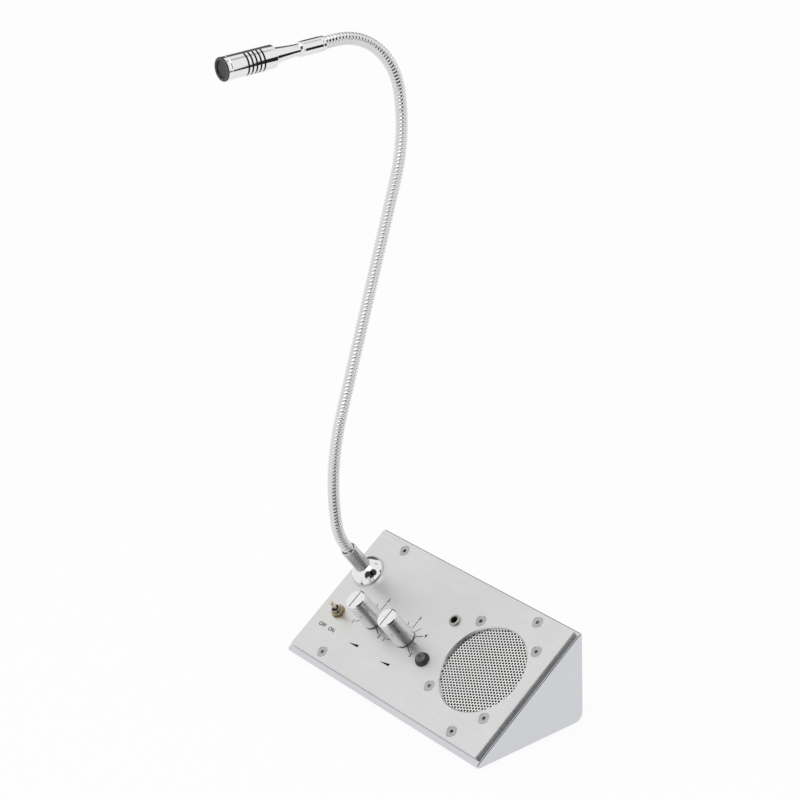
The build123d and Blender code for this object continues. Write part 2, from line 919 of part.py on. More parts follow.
with BuildPart() as lens:
    with BuildSketch(half_plane(seat_at(lamp_place))):
        crown_radius = (lens_radius**2 + lens_crown**2) / (2 * lens_crown)
        crown_centre = bezel_height + lens_crown - crown_radius
        half_way = lens_radius / 2
        with BuildLine():
            Polyline((0, bezel_height + lens_crown), (0, lens_seat), (lens_radius, lens_seat))
            Line((lens_radius, lens_seat), (lens_radius, bezel_height))
            ThreePointArc(
                (lens_radius, bezel_height),
                (half_way, crown_centre + sqrt(crown_radius**2 - half_way**2)),
                (0, bezel_height + lens_crown),
            )
        make_face()
    revolve(axis=Axis(seat_at(lamp_place).origin, panel.z_dir))
save(lens, "lamp_lens")

led_top = lens_seat - 0.6
led = turned(
    [seat_at(lamp_place)],
    [
        (0, led_top),
        (led_radius, led_top),
        (led_radius, led_top - led_length),
        (tube_bore - running_gap, led_top - led_length),
        (tube_bore - running_gap, led_top - led_length - 1.5),
        (0, led_top - led_length - 1.5),
    ],
)
save(led, "lamp_led")

lamp_nut = hex_nuts(
    [seat_at(lamp_place, below_plate)],
    lamp_nut_width,
    -lamp_nut_height,
    lamp_tube + running_gap,
)
save(lamp_nut, "lamp_nut")


# ---- jacks
def jack_body(seat, wall):
    """Jack block behind a wall, with its bush through the wall and the plug's hole."""
    across, up, deep = jack_block
    with BuildPart() as jack:
        with BuildSketch(seat.offset(-wall)):
            Rectangle(across, up)
        extrude(amount=-deep)
        with BuildSketch(seat.offset(-wall)):
            Circle(jack_bush)
        extrude(amount=wall + jack_bush_height)
        with BuildSketch(seat.offset(jack_bush_height)):
            Circle(jack_hole)
        extrude(amount=-jack_hole_depth, mode=Mode.SUBTRACT)
    return jack


def jack_ring(seat):
    """Round nut with a lip over the bush."""
    return turned(
        [seat],
        [
            (jack_bush + running_gap, 0),
            (jack_ring_radius, 0),
            (jack_ring_radius, jack_ring_height - 0.4),
            (jack_ring_radius - 0.4, jack_ring_height),
            (jack_ring_opening, jack_ring_height),
            (jack_ring_opening, jack_bush_height),
            (jack_bush + running_gap, jack_bush_height),
        ],
    )


save(jack_body(seat_at(jack_place), plate_thickness), "mic_jack")
save(jack_ring(seat_at(jack_place)), "mic_jack_nut")
line_seat = rear_seat(line_jack_across, rear_socket_height)
save(jack_body(line_seat, sheet), "line_jack")
save(jack_ring(line_seat), "line_jack_nut")

# ---- power inlet in the rear wall
inlet_seat = rear_seat(inlet_across, rear_socket_height)
inlet = turned(
    [inlet_seat],
    [
        (0, inlet_flange_height - inlet_hole_depth),
        (0, -inlet_depth),
        (inlet_barrel, -inlet_depth),
        (inlet_barrel, 0),
        (inlet_flange, 0),
        (inlet_flange, inlet_flange_height),
        (inlet_hole, inlet_flange_height),
        (inlet_hole, inlet_flange_height - inlet_hole_depth),
        (inlet_pin, inlet_flange_height - inlet_hole_depth),
        (inlet_pin, -0.5),
        (0, -0.5),
    ],
)
save(inlet, "power_inlet")

inlet_nut = hex_nuts(
    [rear_seat(inlet_across, rear_socket_height, sheet)],
    inlet_nut_width,
    -inlet_nut_height,
    inlet_barrel + running_gap,
)
save(inlet_nut, "power_inlet_nut")

# ---- circuit board on snap-in posts on the case's floor
board_bottom = sheet + board_lift
board_top = board_bottom + board_thickness
hole_across = board_width / 2 - board_hole_inset
hole_along = board_depth / 2 - board_hole_inset
board_holes = [
    (board_middle[0] + side_x * hole_across, board_middle[1] + side_y * hole_along)
    for side_x in (-1, 1)
    for side_y in (-1, 1)
]
with BuildPart() as board:
    with BuildSketch(Plane.XY.offset(board_bottom)):
        with Locations(board_middle):
            Rectangle(board_width, board_depth)
        with Locations(*board_holes):
            Circle(pin_radius + screw_clearance, mode=Mode.SUBTRACT)
    extrude(amount=board_thickness)
save(board, "circuit_board")

with BuildPart() as posts:
    with BuildSketch(Plane.XY.offset(sheet)):
        with Locations(*board_holes):
            RegularPolygon(post_width / 2, 6, major_radius=False)
    extrude(amount=board_lift)
    with BuildSketch(Plane.XY.offset(board_bottom)):
        with Locations(*board_holes):
            Circle(pin_radius)
    extrude(amount=board_thickness)
    with BuildSketch(Plane.XY.offset(board_top)):
        with Locations(*board_holes):
            Circle(pin_head_radius)
    extrude(amount=pin_head_height)
save(posts, "board_posts")

with BuildPart() as capacitors:
    with BuildSketch(Plane.XY.offset(board_top)):
        with Locations(*[(board_middle[0] + x, board_middle[1] + y) for x, y in capacitor_places]):
            Circle(capacitor_radius)
    extrude(amount=capacitor_height)
save(capacitors, "board_capacitors")

with BuildPart() as chip:
    with BuildSketch(Plane.XY.offset(board_top)):
        with Locations((board_middle[0] + chip_place[0], board_middle[1] + chip_place[1])):
            Rectangle(chip_size[0], chip_size[1])
    extrude(amount=chip_size[2])
save(chip, "amplifier_chip")

# ---- rubber feet in their seats under the case
with BuildPart() as feet:
    with BuildSketch(Plane.XY.offset(foot_seat_depth)):
        with Locations(*foot_places):
            Circle(foot_radius)
    extrude(amount=-(foot_seat_depth + foot_height))
save(feet, "rubber_feet")
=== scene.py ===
"""Looks of a counter-window intercom: sloping control plate, folded case, gooseneck microphone."""
import json
import logging
import math
from dataclasses import dataclass, field
from enum import Enum
from typing import Optional, Sequence

import bpy
from mathutils import Matrix, Vector


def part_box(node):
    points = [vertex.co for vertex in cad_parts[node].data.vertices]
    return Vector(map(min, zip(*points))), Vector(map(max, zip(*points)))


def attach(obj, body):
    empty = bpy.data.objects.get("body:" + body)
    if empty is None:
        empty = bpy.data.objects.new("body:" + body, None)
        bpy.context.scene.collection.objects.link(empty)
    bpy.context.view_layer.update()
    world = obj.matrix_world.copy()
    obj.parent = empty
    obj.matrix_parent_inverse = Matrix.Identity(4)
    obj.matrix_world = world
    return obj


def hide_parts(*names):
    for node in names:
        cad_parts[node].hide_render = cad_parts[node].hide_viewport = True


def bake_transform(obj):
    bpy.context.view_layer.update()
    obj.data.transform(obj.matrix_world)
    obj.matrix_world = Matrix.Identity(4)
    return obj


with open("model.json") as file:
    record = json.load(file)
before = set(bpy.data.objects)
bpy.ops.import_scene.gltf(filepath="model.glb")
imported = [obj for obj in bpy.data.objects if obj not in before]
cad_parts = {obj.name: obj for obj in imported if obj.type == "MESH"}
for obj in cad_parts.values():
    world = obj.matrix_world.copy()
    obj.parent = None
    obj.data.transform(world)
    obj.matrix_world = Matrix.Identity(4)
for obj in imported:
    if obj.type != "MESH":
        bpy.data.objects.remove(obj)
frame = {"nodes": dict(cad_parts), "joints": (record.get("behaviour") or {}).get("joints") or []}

logging.basicConfig(level=logging.INFO, format="%(message)s")
log = logging.getLogger("intercom")

MM = 0.001
TO_METRES = Matrix.Scale(MM, 4)
TO_MM = Matrix.Scale(1 / MM, 4)
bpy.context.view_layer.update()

Piece = bpy.types.Object
Socket = bpy.types.NodeSocket
Pair = tuple[float, float]
Spot = tuple[float, float, float]
Outline = Sequence[Pair]


# ---------------------------------------------------------------- places
def joint_place(name: str) -> Vector:
    """Point of a joint at rest, in metres."""
    return Vector(next(joint["pos_m"] for joint in frame["joints"] if joint["name"] == name))


def joint_axis(name: str) -> Vector:
    """Direction of a joint's axis at rest."""
    return Vector(next(joint["axis"] for joint in frame["joints"] if joint["name"] == name)).normalized()


def moved(across: float = 0.0, up: float = 0.0, height: float = 0.0, turn: float = 0.0) -> Matrix:
    """Matrix that turns about Z, in degrees, and then moves in millimetres."""
    return Matrix.Translation((across, up, height)) @ Matrix.Rotation(math.radians(turn), 4, "Z")


def seat_matrix(origin: Vector, across: Vector, out: Vector) -> Matrix:
    """Matrix that takes millimetres on the bench to metres on a seat.

    Args:
        origin: The seat's middle in metres.
        across: The direction that the bench's X takes.
        out: The direction that the bench's Z takes.

    Returns:
        The placing matrix, with the scale from millimetres to metres.
    """
    side = out.cross(across).normalized()
    turn = Matrix((across, side, out)).transposed().to_4x4()
    return Matrix.Translation(origin) @ turn @ TO_METRES


ACROSS = Vector((1, 0, 0))
UP_SLOPE = joint_axis("toggle_throw")
OUT = joint_axis("talk_turn")
PLATE_THICKNESS = 3.0
PLATE_SCREWS = [(x, y) for x in (-66.6, 66.6) for y in (-43.5, 43.5)]
SPEAKER_PLACE = (54.4, 0.2)
GRILLE_SCREWS = [(SPEAKER_PLACE[0] + x, SPEAKER_PLACE[1] + y) for x in (-26.4, 26.4) for y in (-26.4, 26.4)]
NECK_PLACE = (-81.0, 18.9)
TOGGLE_PLACE = (-78.5, -15.0)
TALK_PLACE = (-48.0909, -7.6)
LISTEN_PLACE = (-15.1818, -7.7)
LAMP_PLACE = (9.5, -14.2)
MIC_SOCKET_PLACE = (10.3, 18.5)
INLET_PLACE = (-70.0, 24.0)
LINE_SOCKET_PLACE = (-42.0, 24.0)
PLATE_MIDDLE = joint_place("talk_turn") - (ACROSS * TALK_PLACE[0] + UP_SLOPE * TALK_PLACE[1]) * MM


def plate_seat(across: float, up: float, height: float = 0.0, turn: float = 0.0) -> Matrix:
    """Seat on the plate at a place in millimetres from its middle, turned about its normal."""
    spot = PLATE_MIDDLE + (ACROSS * across + UP_SLOPE * up + OUT * height) * MM
    return seat_matrix(spot, ACROSS, OUT) @ moved(turn=turn)


def rear_seat(across: float, height: float) -> Matrix:
    """Seat on the case's rear wall, facing the rear."""
    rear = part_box("housing")[1][1]
    return seat_matrix(Vector((across * MM, rear, height * MM)), Vector((-1, 0, 0)), Vector((0, 1, 0)))


def arc(first: float, last: float, steps: int, wide: float, high: float, low: float = 0.0) -> list[Pair]:
    """Points along an arc between two angles in degrees.

    Args:
        first: Angle of the first point.
        last: Angle of the last point.
        steps: How many steps lie between them.
        wide: Radius across.
        high: Radius upwards.
        low: Height of the arc's middle.

    Returns:
        The points, one more than the steps.
    """
    turns = [math.radians(first + (last - first) * step / steps) for step in range(steps + 1)]
    return [(wide * math.cos(turn), low + high * math.sin(turn)) for turn in turns]


# ---------------------------------------------------------------- modelling bench
class Bench:
    """Modelling steps that the pieces share. Pieces are made here in millimetres."""

    @staticmethod
    def clear() -> None:
        """Deselect everything."""
        bpy.ops.object.select_all(action="DESELECT")

    @staticmethod
    def take(piece: Piece) -> None:
        """Select one piece and make it active."""
        Bench.clear()
        piece.select_set(True)
        bpy.context.view_layer.objects.active = piece

    @staticmethod
    def enter() -> None:
        """Go to edit mode with the selection as it is."""
        bpy.ops.object.mode_set(mode="EDIT")

    @staticmethod
    def leave() -> None:
        """Go back to object mode."""
        bpy.ops.object.mode_set(mode="OBJECT")

    @staticmethod
    def edit(piece: Piece, select: str = "SELECT") -> None:
        """Enter edit mode on a piece with all, or none, of it selected."""
        Bench.take(piece)
        Bench.enter()
        bpy.ops.mesh.select_all(action=select)

    @staticmethod
    def named(name: str) -> Piece:
        """Name the piece that was just added."""
        piece = bpy.context.object
        piece.name = piece.data.name = name
        return piece

    @staticmethod
    def line(name: str, points: Outline, closed: bool = False) -> Piece:
        """Chain of edges in the XZ plane, drawn by extruding a vertex.

        Args:
            name: Name of the object.
            points: (radius, height) corners.
            closed: Whether the last corner joins the first.

        Returns:
            The chain as a mesh object.
        """
        Bench.clear()
        bpy.ops.mesh.primitive_plane_add(size=1, location=(0, 0, 0))
        piece = Bench.named(name)
        Bench.enter()
        bpy.ops.mesh.select_mode(type="VERT")
        bpy.ops.mesh.merge(type="CENTER")
        here = Vector((points[0][0], 0, points[0][1]))
        bpy.ops.transform.translate(value=here)
        for across, height in points[1:]:
            there = Vector((across, 0, height))
            bpy.ops.mesh.extrude_vertices_move(TRANSFORM_OT_translate={"value": there - here})
            here = there
        if closed:
            Bench.leave()
            for vertex in (piece.data.vertices[0], piece.data.vertices[-1]):
                vertex.select = True
            Bench.enter()
            bpy.ops.mesh.edge_face_add()
        Bench.leave()
        return piece

    @staticmethod
    def turned(name: str, points: Outline, closed: bool = False, steps: int = 72) -> Piece:
        """Piece spun about Z from an outline.

        Args:
            name: Name of the object.
            points: (radius, height) corners.
            closed: Whether the outline is a ring that stands off the axis.
            steps: How many steps the turn has.

        Returns:
            The piece, with its faces outwards.
        """
        piece = Bench.line(name, points, closed)
        Bench.edit(piece)
        bpy.ops.mesh.spin(steps=steps, angle=math.tau, center=(0, 0, 0), axis=(0, 0, 1))
        Bench.leave()
        return Bench.outward(piece)

    @staticmethod
    def prism(name: str, corners: Outline, depth: float) -> Piece:
        """Prism that rises along Z from a flat outline.

        Args:
            name: Name of the object.
            corners: (x, y) corners.
            depth: Its height.

        Returns:
            The piece, with its faces outwards.
        """
        Bench.clear()
        bpy.ops.mesh.primitive_circle_add(vertices=len(corners), radius=1, fill_type="NGON")
        piece = Bench.named(name)
        for vertex, (across, up) in zip(piece.data.vertices, corners):
            vertex.co = (across, up, 0)
        Bench.edit(piece)
        bpy.ops.mesh.extrude_region_move(TRANSFORM_OT_translate={"value": (0, 0, depth)})
        Bench.leave()
        return Bench.outward(piece)

    @staticmethod
    def bar(name: str, width: float, length: float, depth: float) -> Piece:
        """Straight bar that rises along Z, centred across it."""
        side, end = width / 2, length / 2
        return Bench.prism(name, [(-side, -end), (side, -end), (side, end), (-side, end)], depth)

    @staticmethod
    def plug(radius: float, low: float, high: float) -> Piece:
        """Round plug along Z, to cut a hole with."""
        return Bench.turned("plug", [(0, low), (radius, low), (radius, high), (0, high)], steps=48)

    @staticmethod
    def hexagon(width: float) -> Outline:
        """Corners of a hexagon of a width across its flats."""
        return arc(30, 330, 5, width / math.sqrt(3), width / math.sqrt(3))

    @staticmethod
    def outward(piece: Piece) -> Piece:
        """Merge doubles and point every face outwards."""
        Bench.edit(piece)
        bpy.ops.mesh.remove_doubles(threshold=0.0005)
        bpy.ops.mesh.normals_make_consistent(inside=False)
        Bench.leave()
        return piece

    @staticmethod
    def shift(piece: Piece, matrix: Matrix) -> Piece:
        """Move a piece by a matrix and keep the place in its mesh."""
        Bench.take(piece)
        piece.matrix_world = matrix @ piece.matrix_world
        bpy.ops.object.transform_apply(location=True, rotation=True, scale=True)
        return piece

    @staticmethod
    def copies(pattern: Piece, places: Sequence[Matrix]) -> list[Piece]:
        """Copies of a pattern, each with its own mesh, in place of the pattern.

        Args:
            pattern: The piece that is copied, and used up.
            places: Where each copy goes.

        Returns:
            The copies.
        """
        pieces = []
        for place in places:
            Bench.take(pattern)
            bpy.ops.object.duplicate(linked=False)
            pieces.append(Bench.shift(bpy.context.object, place))
        bpy.data.objects.remove(pattern, do_unlink=True)
        return pieces

    @staticmethod
    def join(name: str, pieces: Sequence[Piece]) -> Piece:
        """Join pieces into one object.

        Args:
            name: Its name.
            pieces: The pieces, which are used up.

        Returns:
            The object.
        """
        Bench.clear()
        for piece in pieces:
            piece.select_set(True)
        bpy.context.view_layer.objects.active = pieces[0]
        if len(pieces) > 1:
            bpy.ops.object.join()
        return Bench.named(name)

    @staticmethod
    def modify(piece: Piece, kind: str, **settings: object) -> None:
        """Apply a modifier to a piece.

        Args:
            piece: The piece.
            kind: The modifier's type.
            **settings: Its settings by name.
        """
        Bench.take(piece)
        step = piece.modifiers.new(kind.lower(), kind)
        for key, value in settings.items():
            setattr(step, key, value)
        bpy.ops.object.modifier_apply(modifier=step.name)

    @staticmethod
    def cut(piece: Piece, cutter: Piece) -> None:
        """Cut a piece with another, which is used up."""
        Bench.modify(piece, "BOOLEAN", object=cutter, operation="DIFFERENCE", solver="EXACT", use_self=True)
        bpy.data.objects.remove(cutter, do_unlink=True)

    @staticmethod
    def round_edges(piece: Piece, width: float, segments: int = 3, angle: float = 28) -> None:
        """Round the edges that are sharper than an angle."""
        Bench.modify(piece, "BEVEL", width=width, segments=segments, limit_method="ANGLE",
                     angle_limit=math.radians(angle))

    @staticmethod
    def smooth(piece: Piece, angle: float) -> None:
        """Shade smooth, with creases over an angle."""
        Bench.take(piece)
        bpy.ops.object.shade_smooth_by_angle(angle=math.radians(angle))

    @staticmethod
    def flatten(piece: Piece) -> None:
        """Let the large faces set the shading of the rounded edges beside them."""
        Bench.modify(piece, "WEIGHTED_NORMAL", weight=100, keep_sharp=True)


def finish_piece(
    piece: Piece,
    seat: Matrix,
    material: bpy.types.Material,
    body: str = "base",
    nodes: Sequence[str] = (),
    rounding: float = 0.0,
    crease: float = 32,
    flat: bool = False,
) -> Piece:
    """Round, smooth, seat and dress a piece, and say what carries it.

    Args:
        piece: The piece as made on the bench, in millimetres.
        seat: The matrix that puts it in place.
        material: Its finish.
        body: The body that it rides on, or "" where it lies between two and rides on neither.
        nodes: The solids that it stands for.
        rounding: Radius of its rounded edges in millimetres.
        crease: Angle in degrees past which an edge stays crisp.
        flat: Whether its large faces are kept flat beside rounded edges.

    Returns:
        The piece in its place.
    """
    if rounding:
        Bench.round_edges(piece, rounding)
    Bench.shift(piece, seat)
    Bench.smooth(piece, crease)
    if rounding or flat:
        Bench.flatten(piece)
    piece.data.materials.clear()
    piece.data.materials.append(material)
    if body:
        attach(piece, body)
    if nodes:
        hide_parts(*nodes)
    log.info("made %s on %s, %d faces", piece.name, body or "two bodies", len(piece.data.polygons))
    return piece


# ---------------------------------------------------------------- finishes
class Lay(Enum):
    """Which way the fine lines of a metal run."""

    NONE = "none"
    LINEAR = "linear"
    ROUND = "round"


class Graph:
    """Shader nodes of a material or of the surroundings."""

    def __init__(self, tree: bpy.types.NodeTree) -> None:
        """Work on a tree of nodes."""
        self.tree = tree

    def add(self, kind: str, **values: object) -> bpy.types.Node:
        """Add a node and set its properties, or its input sockets by name.

        Args:
            kind: The node's type.
            **values: Properties, or constants for input sockets.

        Returns:
            The node.
        """
        node = self.tree.nodes.new(kind)
        for key, value in values.items():
            if hasattr(node, key):
                setattr(node, key, value)
            else:
                node.inputs[key.replace("_", " ")].default_value = value
        return node

    def link(self, source: Socket, target: Socket) -> None:
        """Join two sockets."""
        self.tree.links.new(source, target)

    def feed(self, target: Socket, value: object) -> None:
        """Give a socket another socket's value, a constant, or nothing."""
        if isinstance(value, Socket):
            self.link(value, target)
        elif value is not None:
            target.default_value = value

    def vector(
        self, operation: str, first: object, second: object = None, scale: Optional[Socket] = None
    ) -> Socket:
        """Vector sum, from sockets or constants.

        Args:
            operation: The kind of sum.
            first: Its first value.
            second: Its second value, where it has one.
            scale: The factor of a SCALE.

        Returns:
            The socket with the result.
        """
        node = self.add("ShaderNodeVectorMath", operation=operation)
        self.feed(node.inputs[0], first)
        self.feed(node.inputs[1], second)
        if scale is not None:
            self.link(scale, node.inputs["Scale"])
        return node.outputs["Value" if operation in ("DOT_PRODUCT", "LENGTH") else "Vector"]

    def number(self, operation: str, *values: object) -> Socket:
        """Sum of numbers, from sockets or constants.

        Args:
            operation: The kind of sum.
            *values: Its values in order.

        Returns:
            The socket with the result.
        """
        node = self.add("ShaderNodeMath", operation=operation)
        for target, value in zip(node.inputs, values):
            self.feed(target, value)
        return node.outputs[0]

    def choose(self, share: Socket, first: object, second: object) -> Socket:
        """Blend of two numbers.

        Args:
            share: How much of the second it holds, from 0 to 1.
            first: The first number.
            second: The second number.

        Returns:
            The socket with the result.
        """
        node = self.add("ShaderNodeMix", data_type="FLOAT")
        for key, value in ((0, share), (2, first), (3, second)):
            self.feed(node.inputs[key], value)
        return node.outputs[0]


class Nodes(Graph):
    """Shader nodes of one material, with a Principled shader in them."""

    def __init__(self, name: str) -> None:
        """Start a material."""
        self.material = bpy.data.materials.new(name)
        self.material.use_nodes = True
        super().__init__(self.material.node_tree)
        self.shader = self.tree.nodes["Principled BSDF"]

    def set(self, **values: object) -> None:
        """Set the shader's sockets by name."""
        for key, value in values.items():
            self.shader.inputs[key.replace("_", " ")].default_value = value

    def place(self) -> Socket:
        """Place on the piece in its own coordinates."""
        return self.add("ShaderNodeTexCoord").outputs["Object"]

    def noise(self, place: Socket, scale: float, detail: float) -> Socket:
        """Noise of a scale per metre at a place."""
        node = self.add("ShaderNodeTexNoise", noise_dimensions="3D", Scale=scale, Detail=detail)
        self.link(place, node.inputs["Vector"])
        return node.outputs["Fac"]

    def joined(self, *values: object) -> Socket:
        """Vector with the given X, Y and Z."""
        node = self.add("ShaderNodeCombineXYZ")
        for target, value in zip(node.inputs, values):
            self.feed(target, value)
        return node.outputs["Vector"]

    def spread(self, source: Socket, low: float, high: float) -> Socket:
        """Map 0.25 to 0.75 of a texture to a range of values.

        Args:
            source: The texture.
            low: The value at 0.25.
            high: The value at 0.75.

        Returns:
            The socket with the values.
        """
        node = self.add("ShaderNodeMapRange", clamp=True, From_Min=0.25, From_Max=0.75, To_Min=low, To_Max=high)
        self.link(source, node.inputs["Value"])
        return node.outputs["Result"]

    def tint(self, source: Socket, dark: Sequence[float], light: Sequence[float]) -> None:
        """Colour the surface between two colours by a texture.

        Args:
            source: The texture.
            dark: The colour at 0.25 of it.
            light: The colour at 0.75 of it.
        """
        ramp = self.add("ShaderNodeValToRGB")
        for stop, place, tone in zip(ramp.color_ramp.elements, (0.25, 0.75), (dark, light)):
            stop.position = place
            stop.color = (*tone, 1)
        self.link(source, ramp.inputs["Fac"])
        self.link(ramp.outputs["Color"], self.shader.inputs["Base Color"])

    def bump(self, source: Socket, depth: float) -> None:
        """Raise the surface by a texture, to a depth in metres."""
        node = self.add("ShaderNodeBump", Strength=1.0, Distance=depth)
        self.link(source, node.inputs["Height"])
        self.link(node.outputs["Normal"], self.shader.inputs["Normal"])


def shades(tone: Spot, contrast: float) -> tuple[list[float], list[float]]:
    """Darker and lighter shade of a tone."""
    return tuple([min(1.0, channel * share) for channel in tone] for share in (1 - contrast, 1 + contrast))


@dataclass(frozen=True)
class Metal:
    """Bare or plated metal with fine lines, cloudy roughness and a faint change of tone.

    Attributes:
        name: Name of the material.
        tone: Linear colour of the metal.
        contrast: How far the tone changes, as a share of it.
        roughness: Lowest and highest roughness.
        lay: Which way its fine lines run.
        stretch: How many times longer than wide a line is.
        line: Width of a fine line in metres.
        relief: Depth of the lines in metres.
        anisotropy: How far highlights are drawn out across the lines.
        axis: Direction along the lines, or of the axis that they run round.
        origin: A point on that axis, in metres.
        clouds: How many clouds of roughness a metre holds.
        fine: Share of the fine lines in the change of tone; the clouds have the rest.
    """

    name: str
    tone: Spot
    contrast: float = 0.05
    roughness: Pair = (0.10, 0.16)
    lay: Lay = Lay.NONE
    stretch: float = 60.0
    line: float = 0.0003
    relief: float = 0.000004
    anisotropy: float = 0.0
    axis: Spot = (1.0, 0.0, 0.0)
    origin: Spot = (0.0, 0.0, 0.0)
    clouds: float = 55.0
    fine: float = 0.7

    def run(self, nodes: Nodes, place: Socket) -> Socket:
        """Coordinates that draw the fine lines, with the highlight turned to them.

        Args:
            nodes: The material's nodes.
            place: The place on the piece, from the axis.

        Returns:
            The socket with the coordinates.
        """
        if self.lay is Lay.NONE:
            return place
        axis = tuple(Vector(self.axis).normalized())
        along = nodes.vector("DOT_PRODUCT", place, axis)
        tangent = nodes.shader.inputs["Tangent"]
        if self.lay is Lay.LINEAR:
            if self.anisotropy:
                nodes.link(nodes.joined(*axis), tangent)
            squeeze = nodes.number("MULTIPLY", along, 1.0 / self.stretch - 1.0)
            return nodes.vector("ADD", place, nodes.vector("SCALE", axis, scale=squeeze))
        radial = nodes.vector("SUBTRACT", place, nodes.vector("SCALE", axis, scale=along))
        if self.anisotropy:
            nodes.link(nodes.vector("NORMALIZE", nodes.vector("CROSS_PRODUCT", axis, radial)), tangent)
        return nodes.joined(nodes.vector("LENGTH", radial), along)

    def build(self) -> bpy.types.Material:
        """Build the material."""
        nodes = Nodes(self.name)
        nodes.set(Metallic=1.0, Anisotropic=self.anisotropy)
        place = nodes.vector("SUBTRACT", nodes.place(), self.origin)
        grain = nodes.noise(self.run(nodes, place), 1.0 / self.line, 3.0)
        cloud = nodes.noise(place, self.clouds, 2.0)
        mixed = nodes.number("ADD", nodes.number("MULTIPLY", grain, self.fine),
                             nodes.number("MULTIPLY", cloud, 1.0 - self.fine))
        nodes.tint(mixed, *shades(self.tone, self.contrast))
        nodes.link(nodes.spread(mixed, *self.roughness), nodes.shader.inputs["Roughness"])
        nodes.bump(grain, self.relief)
        return nodes.material


@dataclass(frozen=True)
class Moulded:
    """Plastic, rubber, pulp, lacquer or ink with a fine uneven surface.

    Attributes:
        name: Name of the material.
        tone: Linear colour.
        contrast: How far the tone changes, as a share of it.
        roughness: Lowest and highest roughness.
        grain: Width of the surface's grain in metres.
        relief: Depth of the grain in metres.
        coat: Weight of a clear coat.
        shine: Level of its specular reflection.
    """

    name: str
    tone: Spot
    contrast: float = 0.12
    roughness: Pair = (0.35, 0.5)
    grain: float = 0.0004
    relief: float = 0.00001
    coat: float = 0.0
    shine: float = 0.5

    def build(self) -> bpy.types.Material:
        """Build the material."""
        nodes = Nodes(self.name)
        nodes.set(Coat_Weight=self.coat, Specular_IOR_Level=self.shine)
        grain = nodes.noise(nodes.place(), 1.0 / self.grain, 4.0)
        nodes.tint(grain, *shades(self.tone, self.contrast))
        nodes.link(nodes.spread(grain, *self.roughness), nodes.shader.inputs["Roughness"])
        nodes.bump(grain, self.relief)
        return nodes.material


@dataclass(frozen=True)
class WovenWire:
    """Dark wire cloth: two sets of crossing wires with gaps between them.

    Attributes:
        name: Name of the material.
        tone: Linear colour of the wires.
        gap: Linear colour between them.
        pitch: Distance between two wires in metres.
        relief: Height of the wires in metres.
    """

    name: str
    tone: Spot
    gap: Spot
    pitch: float = 0.0007
    relief: float = 0.0001

    def build(self) -> bpy.types.Material:
        """Build the material."""
        nodes = Nodes(self.name)
        nodes.set(Metallic=0.6, Roughness=0.45)
        place = nodes.add("ShaderNodeSeparateXYZ")
        nodes.link(nodes.place(), place.inputs[0])
        waves = [
            nodes.number("SINE", nodes.number("MULTIPLY", place.outputs[key], math.tau / self.pitch))
            for key in ("X", "Z")
        ]
        height = nodes.number("ADD", nodes.number("MULTIPLY", nodes.number("MAXIMUM", *waves), 0.5), 0.5)
        nodes.tint(height, self.gap, self.tone)
        nodes.bump(height, self.relief)
        return nodes.material


